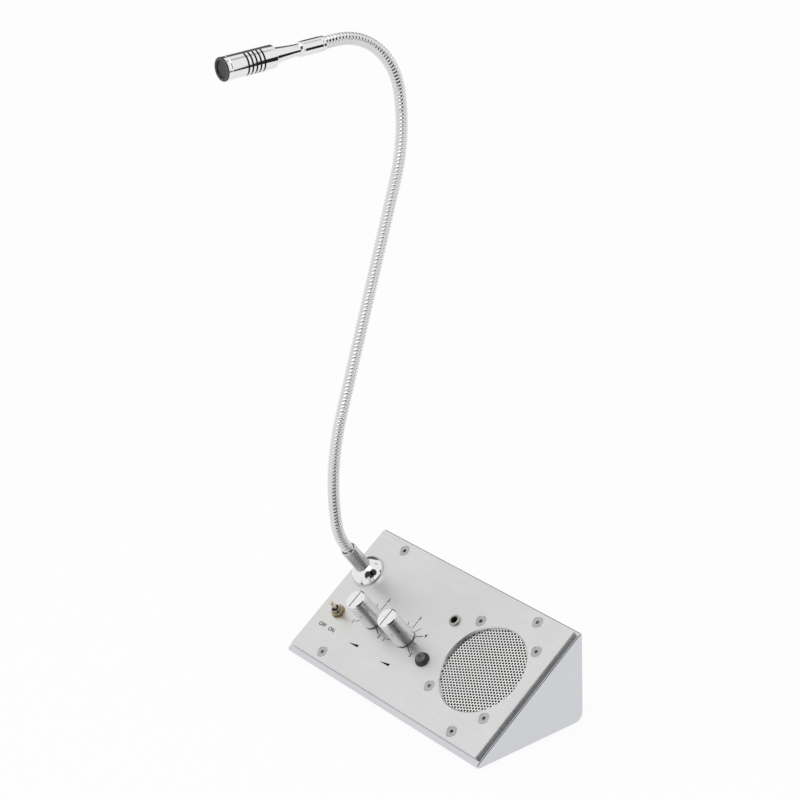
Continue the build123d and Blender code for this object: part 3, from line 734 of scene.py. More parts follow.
class Palette:
    """Every finish of the intercom, by the place that it has on it."""

    def __init__(self) -> None:
        """Build the materials."""
        self.plate = Metal("satin_brushed_plate", (0.675, 0.675, 0.67), 0.07, (0.32, 0.42), Lay.LINEAR,
                           90.0, 0.00035, 0.0000015, 0.2).build()
        self.case = Metal("polished_folded_sheet", (0.62, 0.63, 0.66), 0.03, (0.05, 0.09), Lay.LINEAR,
                          30.0, 0.0006, 0.000001).build()
        self.chrome = Metal("bright_plating", (0.80, 0.80, 0.81), 0.03, (0.03, 0.07), relief=0.0000005).build()
        self.neck = Metal("neck_plating", (0.70, 0.70, 0.71), 0.05, (0.06, 0.12), relief=0.000001).build()
        self.collar = Metal("drawn_collar", (0.58, 0.58, 0.59), 0.05, (0.20, 0.28), Lay.LINEAR,
                            axis=tuple(OUT), relief=0.0000006).build()
        self.grille = Metal("perforated_sheet", (0.93, 0.925, 0.91), 0.06, (0.22, 0.32), Lay.LINEAR,
                            40.0, 0.0004).build()
        self.screw = Metal("steel_screw", (0.44, 0.44, 0.445), 0.25, (0.20, 0.32)).build()
        self.nut = Metal("zinc_nut", (0.45, 0.45, 0.43), 0.12, (0.25, 0.40)).build()
        self.bronze = Metal("nickel_bronze", (0.38, 0.30, 0.21), 0.15, (0.14, 0.24)).build()
        self.champagne = Metal("warm_lever", (0.66, 0.58, 0.47), 0.08, (0.08, 0.16)).build()
        self.brass = Metal("plain_brass", (0.55, 0.42, 0.18), 0.1, (0.2, 0.35)).build()
        self.magnet = Metal("dull_iron", (0.10, 0.10, 0.11), 0.2, (0.5, 0.7), relief=0.00002).build()
        self.black_plastic = Moulded("satin_black_plastic", (0.010, 0.010, 0.011), 0.3, (0.28, 0.4)).build()
        self.black_metal = Moulded("black_enamel", (0.012, 0.012, 0.013), 0.3, (0.3, 0.42), coat=0.3).build()
        # Near-black painted shade for the inside of the microphone's barrel and the mic jack's hole.
        self.hollow = Moulded("painted_recess_shade", (0.003, 0.003, 0.003), 0.3, (0.6, 0.8)).build()
        self.lens = Moulded("smoked_lens", (0.060, 0.056, 0.070), 0.35, (0.10, 0.16), 0.0012, 0.000004,
                            coat=0.6).build()
        self.cone = Moulded("black_pulp", (0.020, 0.020, 0.021), 0.4, (0.7, 0.9), 0.0006, 0.00006).build()
        self.rubber = Moulded("matt_rubber", (0.012, 0.012, 0.012), 0.3, (0.65, 0.85)).build()
        self.board = Moulded("green_lacquer", (0.010, 0.090, 0.035), 0.25, (0.25, 0.4), coat=0.4).build()
        self.white_plastic = Moulded("white_nylon", (0.62, 0.62, 0.60), 0.05, (0.4, 0.5)).build()
        self.ink = Moulded("printed_ink", (0.006, 0.006, 0.007), 0.3, (0.6, 0.75), 0.0003, shine=0.1).build()
        self.mesh = WovenWire("dark_wire_cloth", (0.09, 0.09, 0.095), (0.004, 0.004, 0.004)).build()

    def knob(self, name: str, joint: str) -> bpy.types.Material:
        """Turned aluminium, with its lines round the control's axis."""
        return Metal(name, (0.82, 0.82, 0.82), 0.06, (0.15, 0.24), Lay.ROUND, 60.0, 0.00012, 0.000001,
                     0.7, tuple(OUT), tuple(joint_place(joint))).build()


# ---------------------------------------------------------------- case and plate
@dataclass
class Case:
    """Folded case: a shell with rounded folds, an opening under the plate and seats for its feet."""

    paint: Palette
    width: float = 196.0
    sheet: float = 1.5
    nose: float = 2.5
    top: float = 1.5
    heel: float = 6.0
    smallest_fold: float = 0.2
    side_rounding: float = 0.9
    opening: Pair = (182.0, 76.0)
    front_corner: float = -48.2044
    rear: float = 42.7
    foot_seat: Pair = (6.5, 0.5)
    foot_places: Outline = ((-84.0, -24.0), (-84.0, 29.5), (84.0, -24.0), (84.0, 29.5))
    foot: Outline = ((0, 0.5), (5.9, 0.5), (5.9, -1.4), (5.3, -2.0), (3.6, -2.0), (3.2, -1.7), (0, -1.7))
    rear_holes: tuple[tuple[Pair, float], ...] = ((INLET_PLACE, 5.55), (LINE_SOCKET_PLACE, 3.05))

    def wedge(self, name: str, inset: float) -> Piece:
        """Wedge with rounded folds, drawn in by an inset on every side.

        Args:
            name: Name of the object.
            inset: How far it is drawn in.

        Returns:
            The wedge.
        """
        slope = math.atan2(-OUT.y, OUT.z)
        front = self.front_corner + inset / math.tan(slope / 2)
        rear = self.rear - inset
        high = (rear - front) * math.tan(slope) + inset
        piece = Bench.prism(name, [(front, inset), (rear, inset), (rear, high)], self.width - 2 * inset)
        turn = Matrix(((0, 0, 1), (1, 0, 0), (0, 1, 0))).to_4x4()
        Bench.shift(piece, moved(inset - self.width / 2) @ turn)
        folds = (
            ((front, inset), self.nose, slope),
            ((rear, high), self.top, math.pi / 2 - slope),
            ((rear, inset), self.heel, math.pi / 2),
        )
        for place, radius, angle in folds:
            self.round_fold(piece, place, max(radius - inset, self.smallest_fold) / math.tan(angle / 2))
        return Bench.outward(piece)

    @staticmethod
    def round_fold(piece: Piece, place: Pair, tangent: float) -> None:
        """Round the fold that runs along X through a place in the side view.

        Args:
            piece: The wedge.
            place: The fold's (y, z).
            tangent: How far along the faces the round reaches.
        """
        Bench.edit(piece, "DESELECT")
        bpy.ops.mesh.select_mode(type="EDGE")
        Bench.leave()
        for edge in piece.data.edges:
            ends = [piece.data.vertices[index].co for index in edge.vertices]
            edge.select = all(abs(end.y - place[0]) < 0.01 and abs(end.z - place[1]) < 0.01 for end in ends)
        Bench.enter()
        bpy.ops.mesh.bevel(offset_type="OFFSET", offset=tangent, segments=8, affect="EDGES")
        Bench.leave()

    def build(self) -> None:
        """Make the shell and its feet."""
        shell = self.wedge("case_shell", 0.0)
        Bench.round_edges(shell, self.side_rounding, 3, 50)
        Bench.cut(shell, self.wedge("hollow", self.sheet))
        below = TO_MM @ plate_seat(0, 0, -PLATE_THICKNESS) @ moved(height=-3 * self.sheet)
        Bench.cut(shell, Bench.shift(Bench.bar("opening", *self.opening, 4 * self.sheet), below))
        radius, depth = self.foot_seat
        for place in self.foot_places:
            Bench.cut(shell, Bench.shift(Bench.plug(radius, -1, depth), moved(*place)))
        for place, hole in self.rear_holes:
            Bench.cut(shell, Bench.shift(Bench.plug(hole, -4, 2), TO_MM @ rear_seat(*place)))
        finish_piece(shell, TO_METRES, self.paint.case, nodes=["housing"], crease=24, flat=True)
        feet = Bench.copies(Bench.turned("foot", self.foot), [moved(*place) for place in self.foot_places])
        finish_piece(Bench.join("stick_on_feet", feet), TO_METRES, self.paint.rubber,
                     nodes=["rubber_feet"], rounding=0.25)


@dataclass
class Plate:
    """Brushed front plate with countersunk screw holes and a bevelled speaker opening."""

    paint: Palette
    size: Pair = (190.0, 99.4966)
    corner: float = 1.2
    rounding: float = 0.16
    bores: tuple[tuple[Pair, float], ...] = (
        (NECK_PLACE, 4.95), (TOGGLE_PLACE, 3.05), (TALK_PLACE, 3.55), (LISTEN_PLACE, 3.55),
        (LAMP_PLACE, 4.05), (MIC_SOCKET_PLACE, 3.05))
    sink: Outline = ((0, -4), (2.25, -4), (2.25, -1.8), (4.05, 0), (4.05, 1), (0, 1))
    opening: Outline = (
        (0, -4), (31.9, -4), (31.9, -2.2), (30.5, -2.2), (30.5, -0.9), (31.4, 0), (31.4, 1), (0, 1))

    def build(self) -> None:
        """Make the plate."""
        corners = []
        for side, up, start in ((1, 1, 0), (-1, 1, 90), (-1, -1, 180), (1, -1, 270)):
            middle = (side * (self.size[0] / 2 - self.corner), up * (self.size[1] / 2 - self.corner))
            corners += [(middle[0] + x, middle[1] + y)
                        for x, y in arc(start, start + 90, 4, self.corner, self.corner)]
        plate = Bench.prism("control_plate", corners, PLATE_THICKNESS)
        Bench.shift(plate, moved(height=-PLATE_THICKNESS))
        drills = [Bench.shift(Bench.plug(radius, -4, 1), moved(*place)) for place, radius in self.bores]
        for place in (*PLATE_SCREWS, *GRILLE_SCREWS):
            drills.append(Bench.shift(Bench.turned("drill", self.sink, steps=48), moved(*place)))
        drills.append(Bench.shift(Bench.turned("drill", self.opening, steps=128), moved(*SPEAKER_PLACE)))
        Bench.cut(plate, Bench.join("drills", drills))
        finish_piece(plate, plate_seat(0, 0), self.paint.plate, nodes=["front_panel"],
                     rounding=self.rounding, crease=8)


@dataclass
class Screws:
    """Countersunk screws with a hex socket, modelled once and copied."""

    paint: Palette
    head: float = 3.75
    sink: float = 0.2
    shank: float = 2.0
    lip: Pair = (1.9, 2.05)
    socket: float = 2.5
    depth: float = 1.3
    turns: tuple[float, ...] = (12, 47, 31, 5)
    rows: tuple[tuple[str, str, float, Outline], ...] = (
        ("plate_screws", "panel_screws", 8.0, PLATE_SCREWS),
        ("grille_screws", "speaker_screws", 8.4, GRILLE_SCREWS),
    )

    def pattern(self, length: float) -> Piece:
        """One screw with its head up and a raised lip round its socket.

        Args:
            length: Its length below the plate's face.

        Returns:
            The screw.
        """
        face = -self.sink
        screw = Bench.turned("screw", [
            (0, face - 0.02), (self.lip[0], face - 0.02), (self.lip[1], face), (self.head - 0.15, face),
            (self.head, face - 0.12), (self.shank, face - self.head + self.shank - 0.1),
            (self.shank, -length + 0.4), (self.shank - 0.4, -length), (0, -length)], steps=48)
        key = Bench.prism("key", Bench.hexagon(self.socket), self.depth + 1)
        Bench.cut(screw, Bench.shift(key, moved(height=face - self.depth)))
        return screw

    def build(self) -> None:
        """Make the four plate screws and the four speaker screws."""
        for name, node, length, places in self.rows:
            spots = [moved(*place, turn=turn) for place, turn in zip(places, self.turns)]
            screws = Bench.join(name, Bench.copies(self.pattern(length), spots))
            finish_piece(screws, plate_seat(0, 0), self.paint.screw, nodes=[node], rounding=0.06,
                         crease=14)


@dataclass
class Grille:
    """Perforated sheet: one hexagonal cell with a round hole, repeated and trimmed to a disc."""

    paint: Palette
    pitch: float = 2.23
    hole: float = 0.86
    turn: float = 23.0
    reach: float = 31.5
    sheet: float = 0.8

    def cell(self) -> Piece:
        """Flat cell with its hole."""
        Bench.clear()
        bpy.ops.mesh.primitive_circle_add(vertices=12, radius=self.hole, fill_type="NOTHING")
        cell = Bench.named("grille_sheet")
        Bench.enter()
        bpy.ops.mesh.extrude_edges_move(TRANSFORM_OT_translate={"value": (0, 0, 0)})
        grow = self.pitch / math.sqrt(3) / self.hole
        bpy.ops.transform.resize(value=(grow, grow, 1), center_override=(0, 0, 0))
        Bench.leave()
        for vertex in cell.data.vertices:
            step = round(math.degrees(math.atan2(vertex.co.y, vertex.co.x)) / 30)
            vertex.select = vertex.co.length > self.hole * 1.2 and step % 2 == 0
        for part in (*cell.data.edges, *cell.data.polygons):
            part.select = False
        Bench.enter()
        flat = math.cos(math.radians(30))
        bpy.ops.transform.resize(value=(flat, flat, 1), center_override=(0, 0, 0))
        Bench.leave()
        return cell

    def build(self) -> None:
        """Make the sheet behind the opening."""
        sheet = self.cell()
        count = int(2 * self.reach / self.pitch * 1.2) + 4
        row = self.pitch * math.sqrt(3) / 2
        for step in ((self.pitch, 0, 0), (self.pitch / 2, row, 0)):
            Bench.modify(sheet, "ARRAY", count=count, use_relative_offset=False, use_constant_offset=True,
                         constant_offset_displace=step, use_merge_vertices=False)
        middle = round((count - 1) / 2)
        Bench.shift(sheet, moved(-self.pitch * middle * 1.5, -row * middle))
        Bench.edit(sheet, "DESELECT")
        bpy.ops.mesh.select_mode(type="FACE")
        Bench.leave()
        for face in sheet.data.polygons:
            face.select = face.center.length > self.reach + 0.2
        Bench.enter()
        bpy.ops.mesh.delete(type="FACE")
        bpy.ops.mesh.select_all(action="SELECT")
        bpy.ops.mesh.remove_doubles(threshold=0.01)
        bpy.ops.mesh.normals_make_consistent(inside=False)
        Bench.leave()
        Bench.modify(sheet, "SOLIDIFY", thickness=self.sheet, offset=0)
        Bench.outward(sheet)
        seat = plate_seat(*SPEAKER_PLACE, self.sheet / 2 - PLATE_THICKNESS, self.turn)
        finish_piece(sheet, seat, self.paint.grille, nodes=["speaker_grille"], crease=20)


# ---------------------------------------------------------------- neck
@dataclass(frozen=True)
class Stretch:
    """Length of the neck's winding between two bodies.

    Attributes:
        name: Name of the piece.
        start: Where it starts, in millimetres from the collar's mouth.
        end: Where it ends.
        first: The body that would carry its start; not used.
        second: The body that would carry its end; not used.
        low: Where the bend starts.
        high: Where the bend ends.
        nodes: The solids that it stands for.
    """

    name: str
    start: float
    end: float
    first: str
    second: str
    low: float
    high: float
    nodes: tuple[str, ...] = ()


@dataclass
class Gooseneck:
    """Bendable neck: a tube with a winding rib, drawn along the neck's own line of arcs."""

    paint: Palette
    mouth: float = 27.5
    runs: Outline = (
        (1.5, 0.0), (21.0, -28.2), (76.3, -25.8), (155.0, 0.0), (58.1, 26.5), (68.6, 84.5), (8.0, 0.0))
    crest: float = 3.98
    valley: float = 3.42
    pitch: float = 2.4
    crown: float = 0.17
    flank: float = 0.30
    before: float = 14.0
    beyond: float = 6.0
    steps: int = 28
    stretches: tuple[Stretch, ...] = (
        Stretch("neck_winding_foot", -10.0, 6.5, "base", "neck_root", -1.5, 5.0, ("neck_foot",)),
        Stretch("neck_winding_root", 6.5, 100.0, "neck_root", "neck_lower", 7.5, 30.0,
                ("neck_root", "neck_lower")),
        Stretch("neck_winding_middle", 100.0, 300.0, "neck_lower", "neck_upper", 163.0, 213.0, ("neck_upper",)),
        Stretch("neck_winding_top", 300.0, 381.0, "neck_upper", "neck_tip", 360.0, 380.0, ("neck_tip",)),
        Stretch("neck_winding_end", 381.0, 389.4, "neck_tip", "microphone", 382.5, 388.0),
    )

    def station(self, distance: float) -> tuple[Vector, Vector]:
        """Point of the neck's line, and its direction.

        Args:
            distance: Distance along it from the collar's mouth, in millimetres.

        Returns:
            The point in millimetres and the direction.
        """
        start = PLATE_MIDDLE / MM + ACROSS * NECK_PLACE[0] + UP_SLOPE * NECK_PLACE[1] + OUT * self.mouth
        along, up = start.y, start.z
        lean = math.atan2(-OUT.y, OUT.z)
        left = distance
        for number, (length, turn) in enumerate(self.runs):
            last = number == len(self.runs) - 1
            part = left if last or (number == 0 and left < 0) else min(left, length)
            bend = math.radians(turn) * part / length
            if turn:
                bow = length / math.radians(turn)
                along += bow * (math.cos(lean + bend) - math.cos(lean))
                up += bow * (math.sin(lean + bend) - math.sin(lean))
            else:
                along -= part * math.sin(lean)
                up += part * math.cos(lean)
            lean += bend
            left -= part
            if left <= 0:
                break
        return Vector((start.x, along, up)), Vector((0, -math.sin(lean), math.cos(lean)))

    def line(self) -> Piece:
        """Bezier line through the ends of the runs, with the handles of true arcs."""
        ends = [-self.before]
        for length, _ in self.runs:
            ends.append(max(ends[-1], 0.0) + length)
        ends[-1] += self.beyond
        turns = [turn for _, turn in self.runs]
        curve = bpy.data.curves.new("neck_line", "CURVE")
        curve.dimensions = "3D"
        curve.resolution_u = 96
        spline = curve.splines.new("BEZIER")
        spline.bezier_points.add(len(ends) - 1)
        for number, (point, end) in enumerate(zip(spline.bezier_points, ends)):
            spot, way = self.station(end)
            handles = []
            for side in (-1, 1):
                reach = 3.0
                if 0 <= number + side < len(ends):
                    length = abs(ends[number + side] - end)
                    turn = abs(math.radians(turns[number - 1 if side < 0 else number]))
                    reach = 4 / 3 * math.tan(turn / 4) * length / turn if turn else length / 3
                handles.append(spot + way * side * reach)
            point.handle_left_type = point.handle_right_type = "FREE"
            point.co = spot
            point.handle_left, point.handle_right = handles
        holder = bpy.data.objects.new("neck_line", curve)
        bpy.context.collection.objects.link(holder)
        return holder

    def winding(self, name: str, start: float, end: float) -> Piece:
        """Straight stretch of ribbed tube, with its height as the distance.

        Args:
            name: Name of the object.
            start: Where it is cut off square below.
            end: Where it is cut off square above.

        Returns:
            The stretch, closed at both ends.
        """
        first = math.floor((start + self.before) / self.pitch) - 1
        turns = math.ceil((end - start) / self.pitch) + 3
        mid = (self.crest + self.valley) / 2
        piece = Bench.line(name, [
            (self.valley, 0), (mid, self.pitch * (0.5 - self.flank)), (self.crest, self.pitch * (0.5 - self.crown)),
            (self.crest, self.pitch * (0.5 + self.crown)), (mid, self.pitch * (0.5 + self.flank)),
            (self.valley, self.pitch)])
        Bench.modify(piece, "SCREW", axis="Z", angle=math.tau, screw_offset=self.pitch, iterations=turns,
                     steps=self.steps, render_steps=self.steps, use_merge_vertices=True, merge_threshold=0.001)
        Bench.shift(piece, moved(height=first * self.pitch))
        Bench.edit(piece)
        bpy.ops.mesh.remove_doubles(threshold=0.001)
        for height, side in ((start + self.before, -1), (end + self.before, 1)):
            bpy.ops.mesh.select_all(action="SELECT")
            bpy.ops.mesh.bisect(plane_co=(0, 0, height), plane_no=(0, 0, side), use_fill=True, clear_outer=True)
        Bench.leave()
        return Bench.outward(piece)

    def build(self) -> None:
        """Make the stretches and bend them along the line."""
        line = self.line()
        for part in self.stretches:
            piece = self.winding(part.name, part.start, part.end)
            Bench.modify(piece, "CURVE", object=line, deform_axis="POS_Z")
            finish_piece(piece, TO_METRES, self.paint.neck, "", part.nodes, crease=60)
            tuple(self.station(part.low)[0] * MM)
            tuple(self.station(part.high)[0] * MM)
            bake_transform(piece)
        bpy.data.objects.remove(line, do_unlink=True)


@dataclass
class NeckSocket:
    """Domed flange and straight collar that the neck stands in."""

    paint: Palette
    radius: float = 11.9
    rim: float = 0.8
    height: float = 8.0
    inner: float = 5.45
    collar: Outline = (
        (4.3, 2.0), (2.6, 2.0), (2.6, -12.0), (4.9, -12.0), (4.9, 0), (5.4, 0), (5.4, 26.6), (5.15, 27.2),
        (4.95, 27.5), (4.5, 27.5), (4.3, 27.0))

    def build(self) -> None:
        """Make the dome and the collar."""
        low = self.inner**2 + self.height**2 - self.radius**2 - self.rim**2
        low /= 2 * (self.height - self.rim)
        crown = math.hypot(self.inner, self.height - low)
        first = math.degrees(math.atan2(self.rim - low, self.radius))
        last = math.degrees(math.atan2(self.height - low, self.inner))
        outline = [(self.inner, 0), (self.radius - 0.25, 0), (self.radius, 0.2),
                   *arc(first, last, 14, crown, crown, low)]
        seat = plate_seat(*NECK_PLACE)
        dome = Bench.turned("dome_flange", outline, True, 96)
        finish_piece(dome, seat, self.paint.chrome, nodes=["neck_dome"], crease=40)
        collar = Bench.turned("collar_tube", self.collar, True, 80)
        finish_piece(collar, seat, self.paint.collar, nodes=["neck_collar"], crease=36)


# ---------------------------------------------------------------- microphone
@dataclass
class Microphone:
    """Microphone on the neck's end: ferrule, slim taper, slotted barrel, dark ring and wire cloth."""

    paint: Palette
    neck: Gooseneck
    body: str = "microphone"
    ferrule: float = 20.0
    taper: float = 18.8
    barrel: float = 33.2
    ring: float = 3.2
    radius: float = 7.4
    wall: float = 1.2
    stem: float = 1.1
    slots: int = 5
    slot_width: float = 1.25
    slot_pitch: float = 2.9
    slot_half_turn: float = 70.0
    first_slot: float = 11.6

    def part(
        self, name: str, points: Outline, material: bpy.types.Material, slot: str,
        nodes: Sequence[str] = (), rounding: float = 0.0, closed: bool = True,
    ) -> None:
        """Turn and finish a piece on the microphone's axis.

        Args:
            name: Name of the piece.
            points: (radius, distance from the neck's end) corners.
            material: Its finish.
            slot: The name of the record's material slot; not used.
            nodes: The solids that it stands for.
            rounding: Radius of its rounded edges.
            closed: Whether it is a ring round the axis.
        """
        spot, way = self.neck.station(sum(length for length, _ in self.neck.runs))
        seat = seat_matrix(spot * MM, ACROSS, way)
        finish_piece(Bench.turned(name, points, closed), seat, material, self.body, nodes, rounding)

    def case(self, start: float, front: float) -> None:
        """Make the slotted barrel.

        Args:
            start: Where it starts on the axis.
            front: Where it ends.
        """
        inner = self.radius - self.wall
        case = Bench.turned("mic_case", [
            (self.stem, start), (5.4, start), (6.9, start + 0.25), (7.3, start + 0.7), (self.radius, start + 1.4),
            (self.radius, front - 0.3), (self.radius - 0.2, front), (inner, front), (inner, start + 1.5),
            (self.stem, start + 1.5)], True, 96)
        for number in range(self.slots):
            height = front - self.first_slot - self.slot_pitch * number - self.slot_width / 2
            for side in (0, 180):
                left, right = side - self.slot_half_turn, side + self.slot_half_turn
                corners = arc(left, right, 14, 9, 9) + arc(right, left, 14, 4, 4)
                Bench.cut(case, Bench.shift(Bench.prism("slot", corners, self.slot_width), moved(height=height)))
        spot, way = self.neck.station(sum(length for length, _ in self.neck.runs))
        finish_piece(case, seat_matrix(spot * MM, ACROSS, way), self.paint.chrome, self.body,
                     ["mic_barrel"], crease=30)

    def build(self) -> None:
        """Make the microphone's pieces along its axis."""
        chrome, stem = self.paint.chrome, self.stem
        end = self.ferrule
        self.part("mic_sleeve", [
            (2.6, 1.0), (4.1, 1.0), (4.6, 1.3), (4.85, 1.9), (4.85, 3.4), (4.72, 3.6), (4.72, 4.0), (4.85, 4.2),
            (4.85, end - 2.6), (4.7, end - 2.3), (4.7, end - 1.9), (4.8, end - 1.6), (4.6, end - 0.6),
            (4.0, end), (stem, end), (stem, 6.0), (2.6, 6.0)], chrome, "polished", ["mic_ferrule"], 0.08)
        start, end = end, end + self.taper
        self.part("mic_shank", [
            (stem, start), (3.7, start), (3.75, start + 1.5), (4.0, start + 6.0), (4.5, start + 11.5),
            (5.0, start + 16.2), (5.3, end), (stem, end)], chrome, "polished", ["mic_taper"])
        start, front = end, end + self.barrel
        self.case(start, front)
        # Near-black sheet just inside the barrel, seen through the slots: painted shade of the barrel's inside.
        self.part("mic_painted_shade_sheet", [
            (6.1, start + 4), (6.1, front - 4.4), (5.8, front - 4.4), (5.8, start + 4)],
            self.paint.hollow, "black_metal")
        lip = front + self.ring
        self.part("mic_front_sleeve", [
            (6.15, front + 0.02), (7.25, front + 0.02), (7.4, front + 0.15), (7.4, lip - 0.75),
            (6.15, lip - 0.75)], chrome, "polished")
        self.part("mic_front_ring", [
            (5.65, front - 4.0), (6.1, front - 4.0), (6.1, lip - 0.7), (7.38, lip - 0.7), (7.38, lip - 0.35),
            (7.2, lip - 0.1), (6.9, lip), (5.9, lip), (5.55, lip - 0.2), (5.4, lip - 0.5), (5.4, lip - 1.4),
            (5.65, lip - 1.4)], self.paint.black_metal, "black_metal", ["mic_ring"])
        self.part("mic_cloth", [
            (0, lip - 1.5), (5.6, lip - 1.5), (5.6, lip - 0.95), (4.8, lip - 0.8), (0, lip - 0.7)],
            self.paint.mesh, "mesh", ["mic_mesh"], closed=False)


# ---------------------------------------------------------------- controls
@dataclass
class Toggle:
    """Power switch: threaded bush, hex nut, washer and bat lever."""

    paint: Palette
    tilt: float = 11.0
    bore: float = 3.05
    washer: Outline = ((3.05, 0), (4.9, 0), (4.9, 0.5), (3.05, 0.5))
    nut: Pair = (8.0, 2.0)
    nut_turn: float = 8.0
    thread: Pair = (0.16, 0.26)
    below_thread: Outline = ((0, -12.5), (3.0, -12.5), (3.0, 2.3))
    above_thread: Outline = ((2.85, 4.5), (2.35, 4.5), (2.3, 4.3), (2.3, -0.2), (0, -0.2))
    lever: Outline = (
        (0, -0.8), (1.5, -0.7), (1.8, 0), (1.5, 0.7), (1.1, 0.95), (1.05, 3.0), (1.18, 6.5), (1.36, 9.6))
    tip: Spot = (1.42, 1.25, 11.35)

    def build(self) -> None:
        """Make what stands on the plate."""
        seat = plate_seat(*TOGGLE_PLACE)
        bronze = self.paint.bronze
        washer = Bench.turned("switch_washer", self.washer, True)
        finish_piece(washer, seat, bronze, nodes=["toggle_washer"], rounding=0.1)
        nut = Bench.prism("switch_nut", Bench.hexagon(self.nut[0]), self.nut[1])
        Bench.round_edges(nut, 0.25, 2, 50)
        Bench.cut(nut, Bench.plug(self.bore, -1, 3))
        Bench.shift(nut, moved(height=self.washer[-1][1], turn=self.nut_turn))
        finish_piece(nut, seat, bronze, nodes=["toggle_nut"], crease=25)
        depth, half_pitch = self.thread
        thread = [(3.0 - depth * (step % 2), 2.4 + half_pitch * step) for step in range(8)]
        bush = Bench.turned("switch_bush", [*self.below_thread, *thread, *self.above_thread], steps=48)
        finish_piece(bush, seat, bronze, crease=25)
        lean = math.radians(self.tilt)
        across = ACROSS * math.cos(lean) - OUT * math.sin(lean)
        way = OUT * math.cos(lean) + ACROSS * math.sin(lean)
        tip = arc(0, 90, 7, *self.tip)[:-1]
        lever = Bench.turned("switch_lever", [*self.lever, *tip, (0, self.tip[1] + self.tip[2])], steps=40)
        finish_piece(lever, seat_matrix(joint_place("toggle_throw"), across, way), self.paint.champagne,
                     "toggle", ["toggle_lever"], crease=40)


@dataclass
class Knob:
    """Turned volume knob with a fine groove and an engraved pointer line."""

    paint: Palette
    name: str
    joint: str
    body: str
    node: str
    radius: float = 7.4
    top_radius: float = 7.12
    top: float = 24.8
    bore: Outline = ((0, 20.0), (3.05, 20.0), (3.05, 5.0), (6.4, 5.0))
    pointer_width: float = 0.7
    pointer_depth: float = 0.28
    ink_width: float = 0.64

    def build(self) -> None:
        """Make the knob on its shaft's axis."""
        side, rim, top = self.radius, self.top_radius, self.top
        knob = Bench.turned(self.name, [
            (6.4, 0.8), (side - 0.2, 0.8), (side, 1.0), (side - 0.02, 3.0), (rim + 0.06, top - 3.1),
            (rim - 0.14, top - 2.9), (rim - 0.14, top - 2.6), (rim + 0.04, top - 2.4), (rim, top - 0.9),
            (rim - 0.3, top - 0.45), (rim - 0.9, top), (0, top), *self.bore], True, 112)
        groove = Bench.bar("pointer", self.pointer_width, 2 * side + 2, 1.0)
        Bench.cut(knob, Bench.shift(groove, moved(height=top - self.pointer_depth)))
        seat = seat_matrix(joint_place(self.joint), ACROSS, OUT)
        material = self.paint.knob(self.name + "_aluminium", self.joint)
        finish_piece(knob, seat, material, self.body, [self.node], crease=26)
        ink = Bench.bar(self.name + "_line", self.ink_width, 2 * (rim - 0.7), 0.1)
        Bench.shift(ink, moved(height=top - 0.26))
        finish_piece(ink, seat, self.paint.ink, self.body)


@dataclass
class Lamp:
    """Indicator lamp: black bezel with a domed lens."""

    paint: Palette
    bezel: Outline = (
        (3.2, -12.0), (4.0, -12.0), (4.0, 0), (5.0, 0), (5.0, 0.7), (4.85, 1.0), (4.2, 2.4), (3.95, 2.7),
        (3.7, 2.7), (3.55, 2.5), (3.55, 1.2), (3.2, 1.2))
    foot: Outline = ((0, 1.2), (3.45, 1.2), (3.5, 1.4))
    dome: Spot = (3.5, 0.95, 2.6)

    def build(self) -> None:
        """Make the bezel and the lens."""
        seat = plate_seat(*LAMP_PLACE)
        bezel = Bench.turned("lamp_surround", self.bezel, True)
        finish_piece(bezel, seat, self.paint.black_plastic, nodes=["lamp_bezel"], crease=38)
        dome = arc(0, 90, 9, *self.dome)[:-1]
        lens = Bench.turned("lamp_dome", [*self.foot, *dome, (0, self.dome[1] + self.dome[2])])
        finish_piece(lens, seat, self.paint.lens, nodes=["lamp_lens"], crease=40)


@dataclass
class Sockets:
    """Round nuts of the two jacks, and the power inlet's flange with its pin."""

    paint: Palette
    ring: Outline = (
        (3.05, 0), (4.0, 0), (4.0, 1.1), (3.9, 1.35), (3.65, 1.5), (3.0, 1.5), (2.7, 1.4), (2.6, 1.2),
        (2.6, 1.0), (3.05, 1.0))
    notch: Spot = (0.9, 10.0, 1.0)
    notch_height: float = 1.1
    notch_turn: float = 51.5662016
    flange: Outline = (
        (0, -7.7), (0, -13.0), (5.5, -13.0), (5.5, 0), (7.0, 0), (7.0, 1.3), (6.7, 1.7), (6.4, 1.8),
        (3.2, 1.8), (2.8, 1.5), (2.8, -7.7))
    pin: Outline = ((0, -7.7), (1.0, -7.7), (1.0, -0.8), (0.7, -0.5), (0, -0.5))

    def build(self) -> None:
        """Make what shows of the sockets."""
        rows = (
            ("mic_socket_ring", plate_seat(*MIC_SOCKET_PLACE), "mic_jack_nut"),
            ("line_socket_ring", rear_seat(*LINE_SOCKET_PLACE), "line_jack_nut"),
        )
        for name, seat, node in rows:
            ring = Bench.turned(name, self.ring, True, 64)
            place = moved(height=self.notch_height, turn=self.notch_turn)
            Bench.cut(ring, Bench.shift(Bench.bar("notch", *self.notch), place))
            finish_piece(ring, seat, self.paint.nut, nodes=[node], crease=30)
        seat = rear_seat(*INLET_PLACE)
        inlet = Bench.turned("inlet_flange", self.flange, True)
        finish_piece(inlet, seat, self.paint.black_plastic, nodes=["power_inlet"], crease=30)
        finish_piece(Bench.turned("inlet_pin", self.pin, steps=32), seat, self.paint.brass)


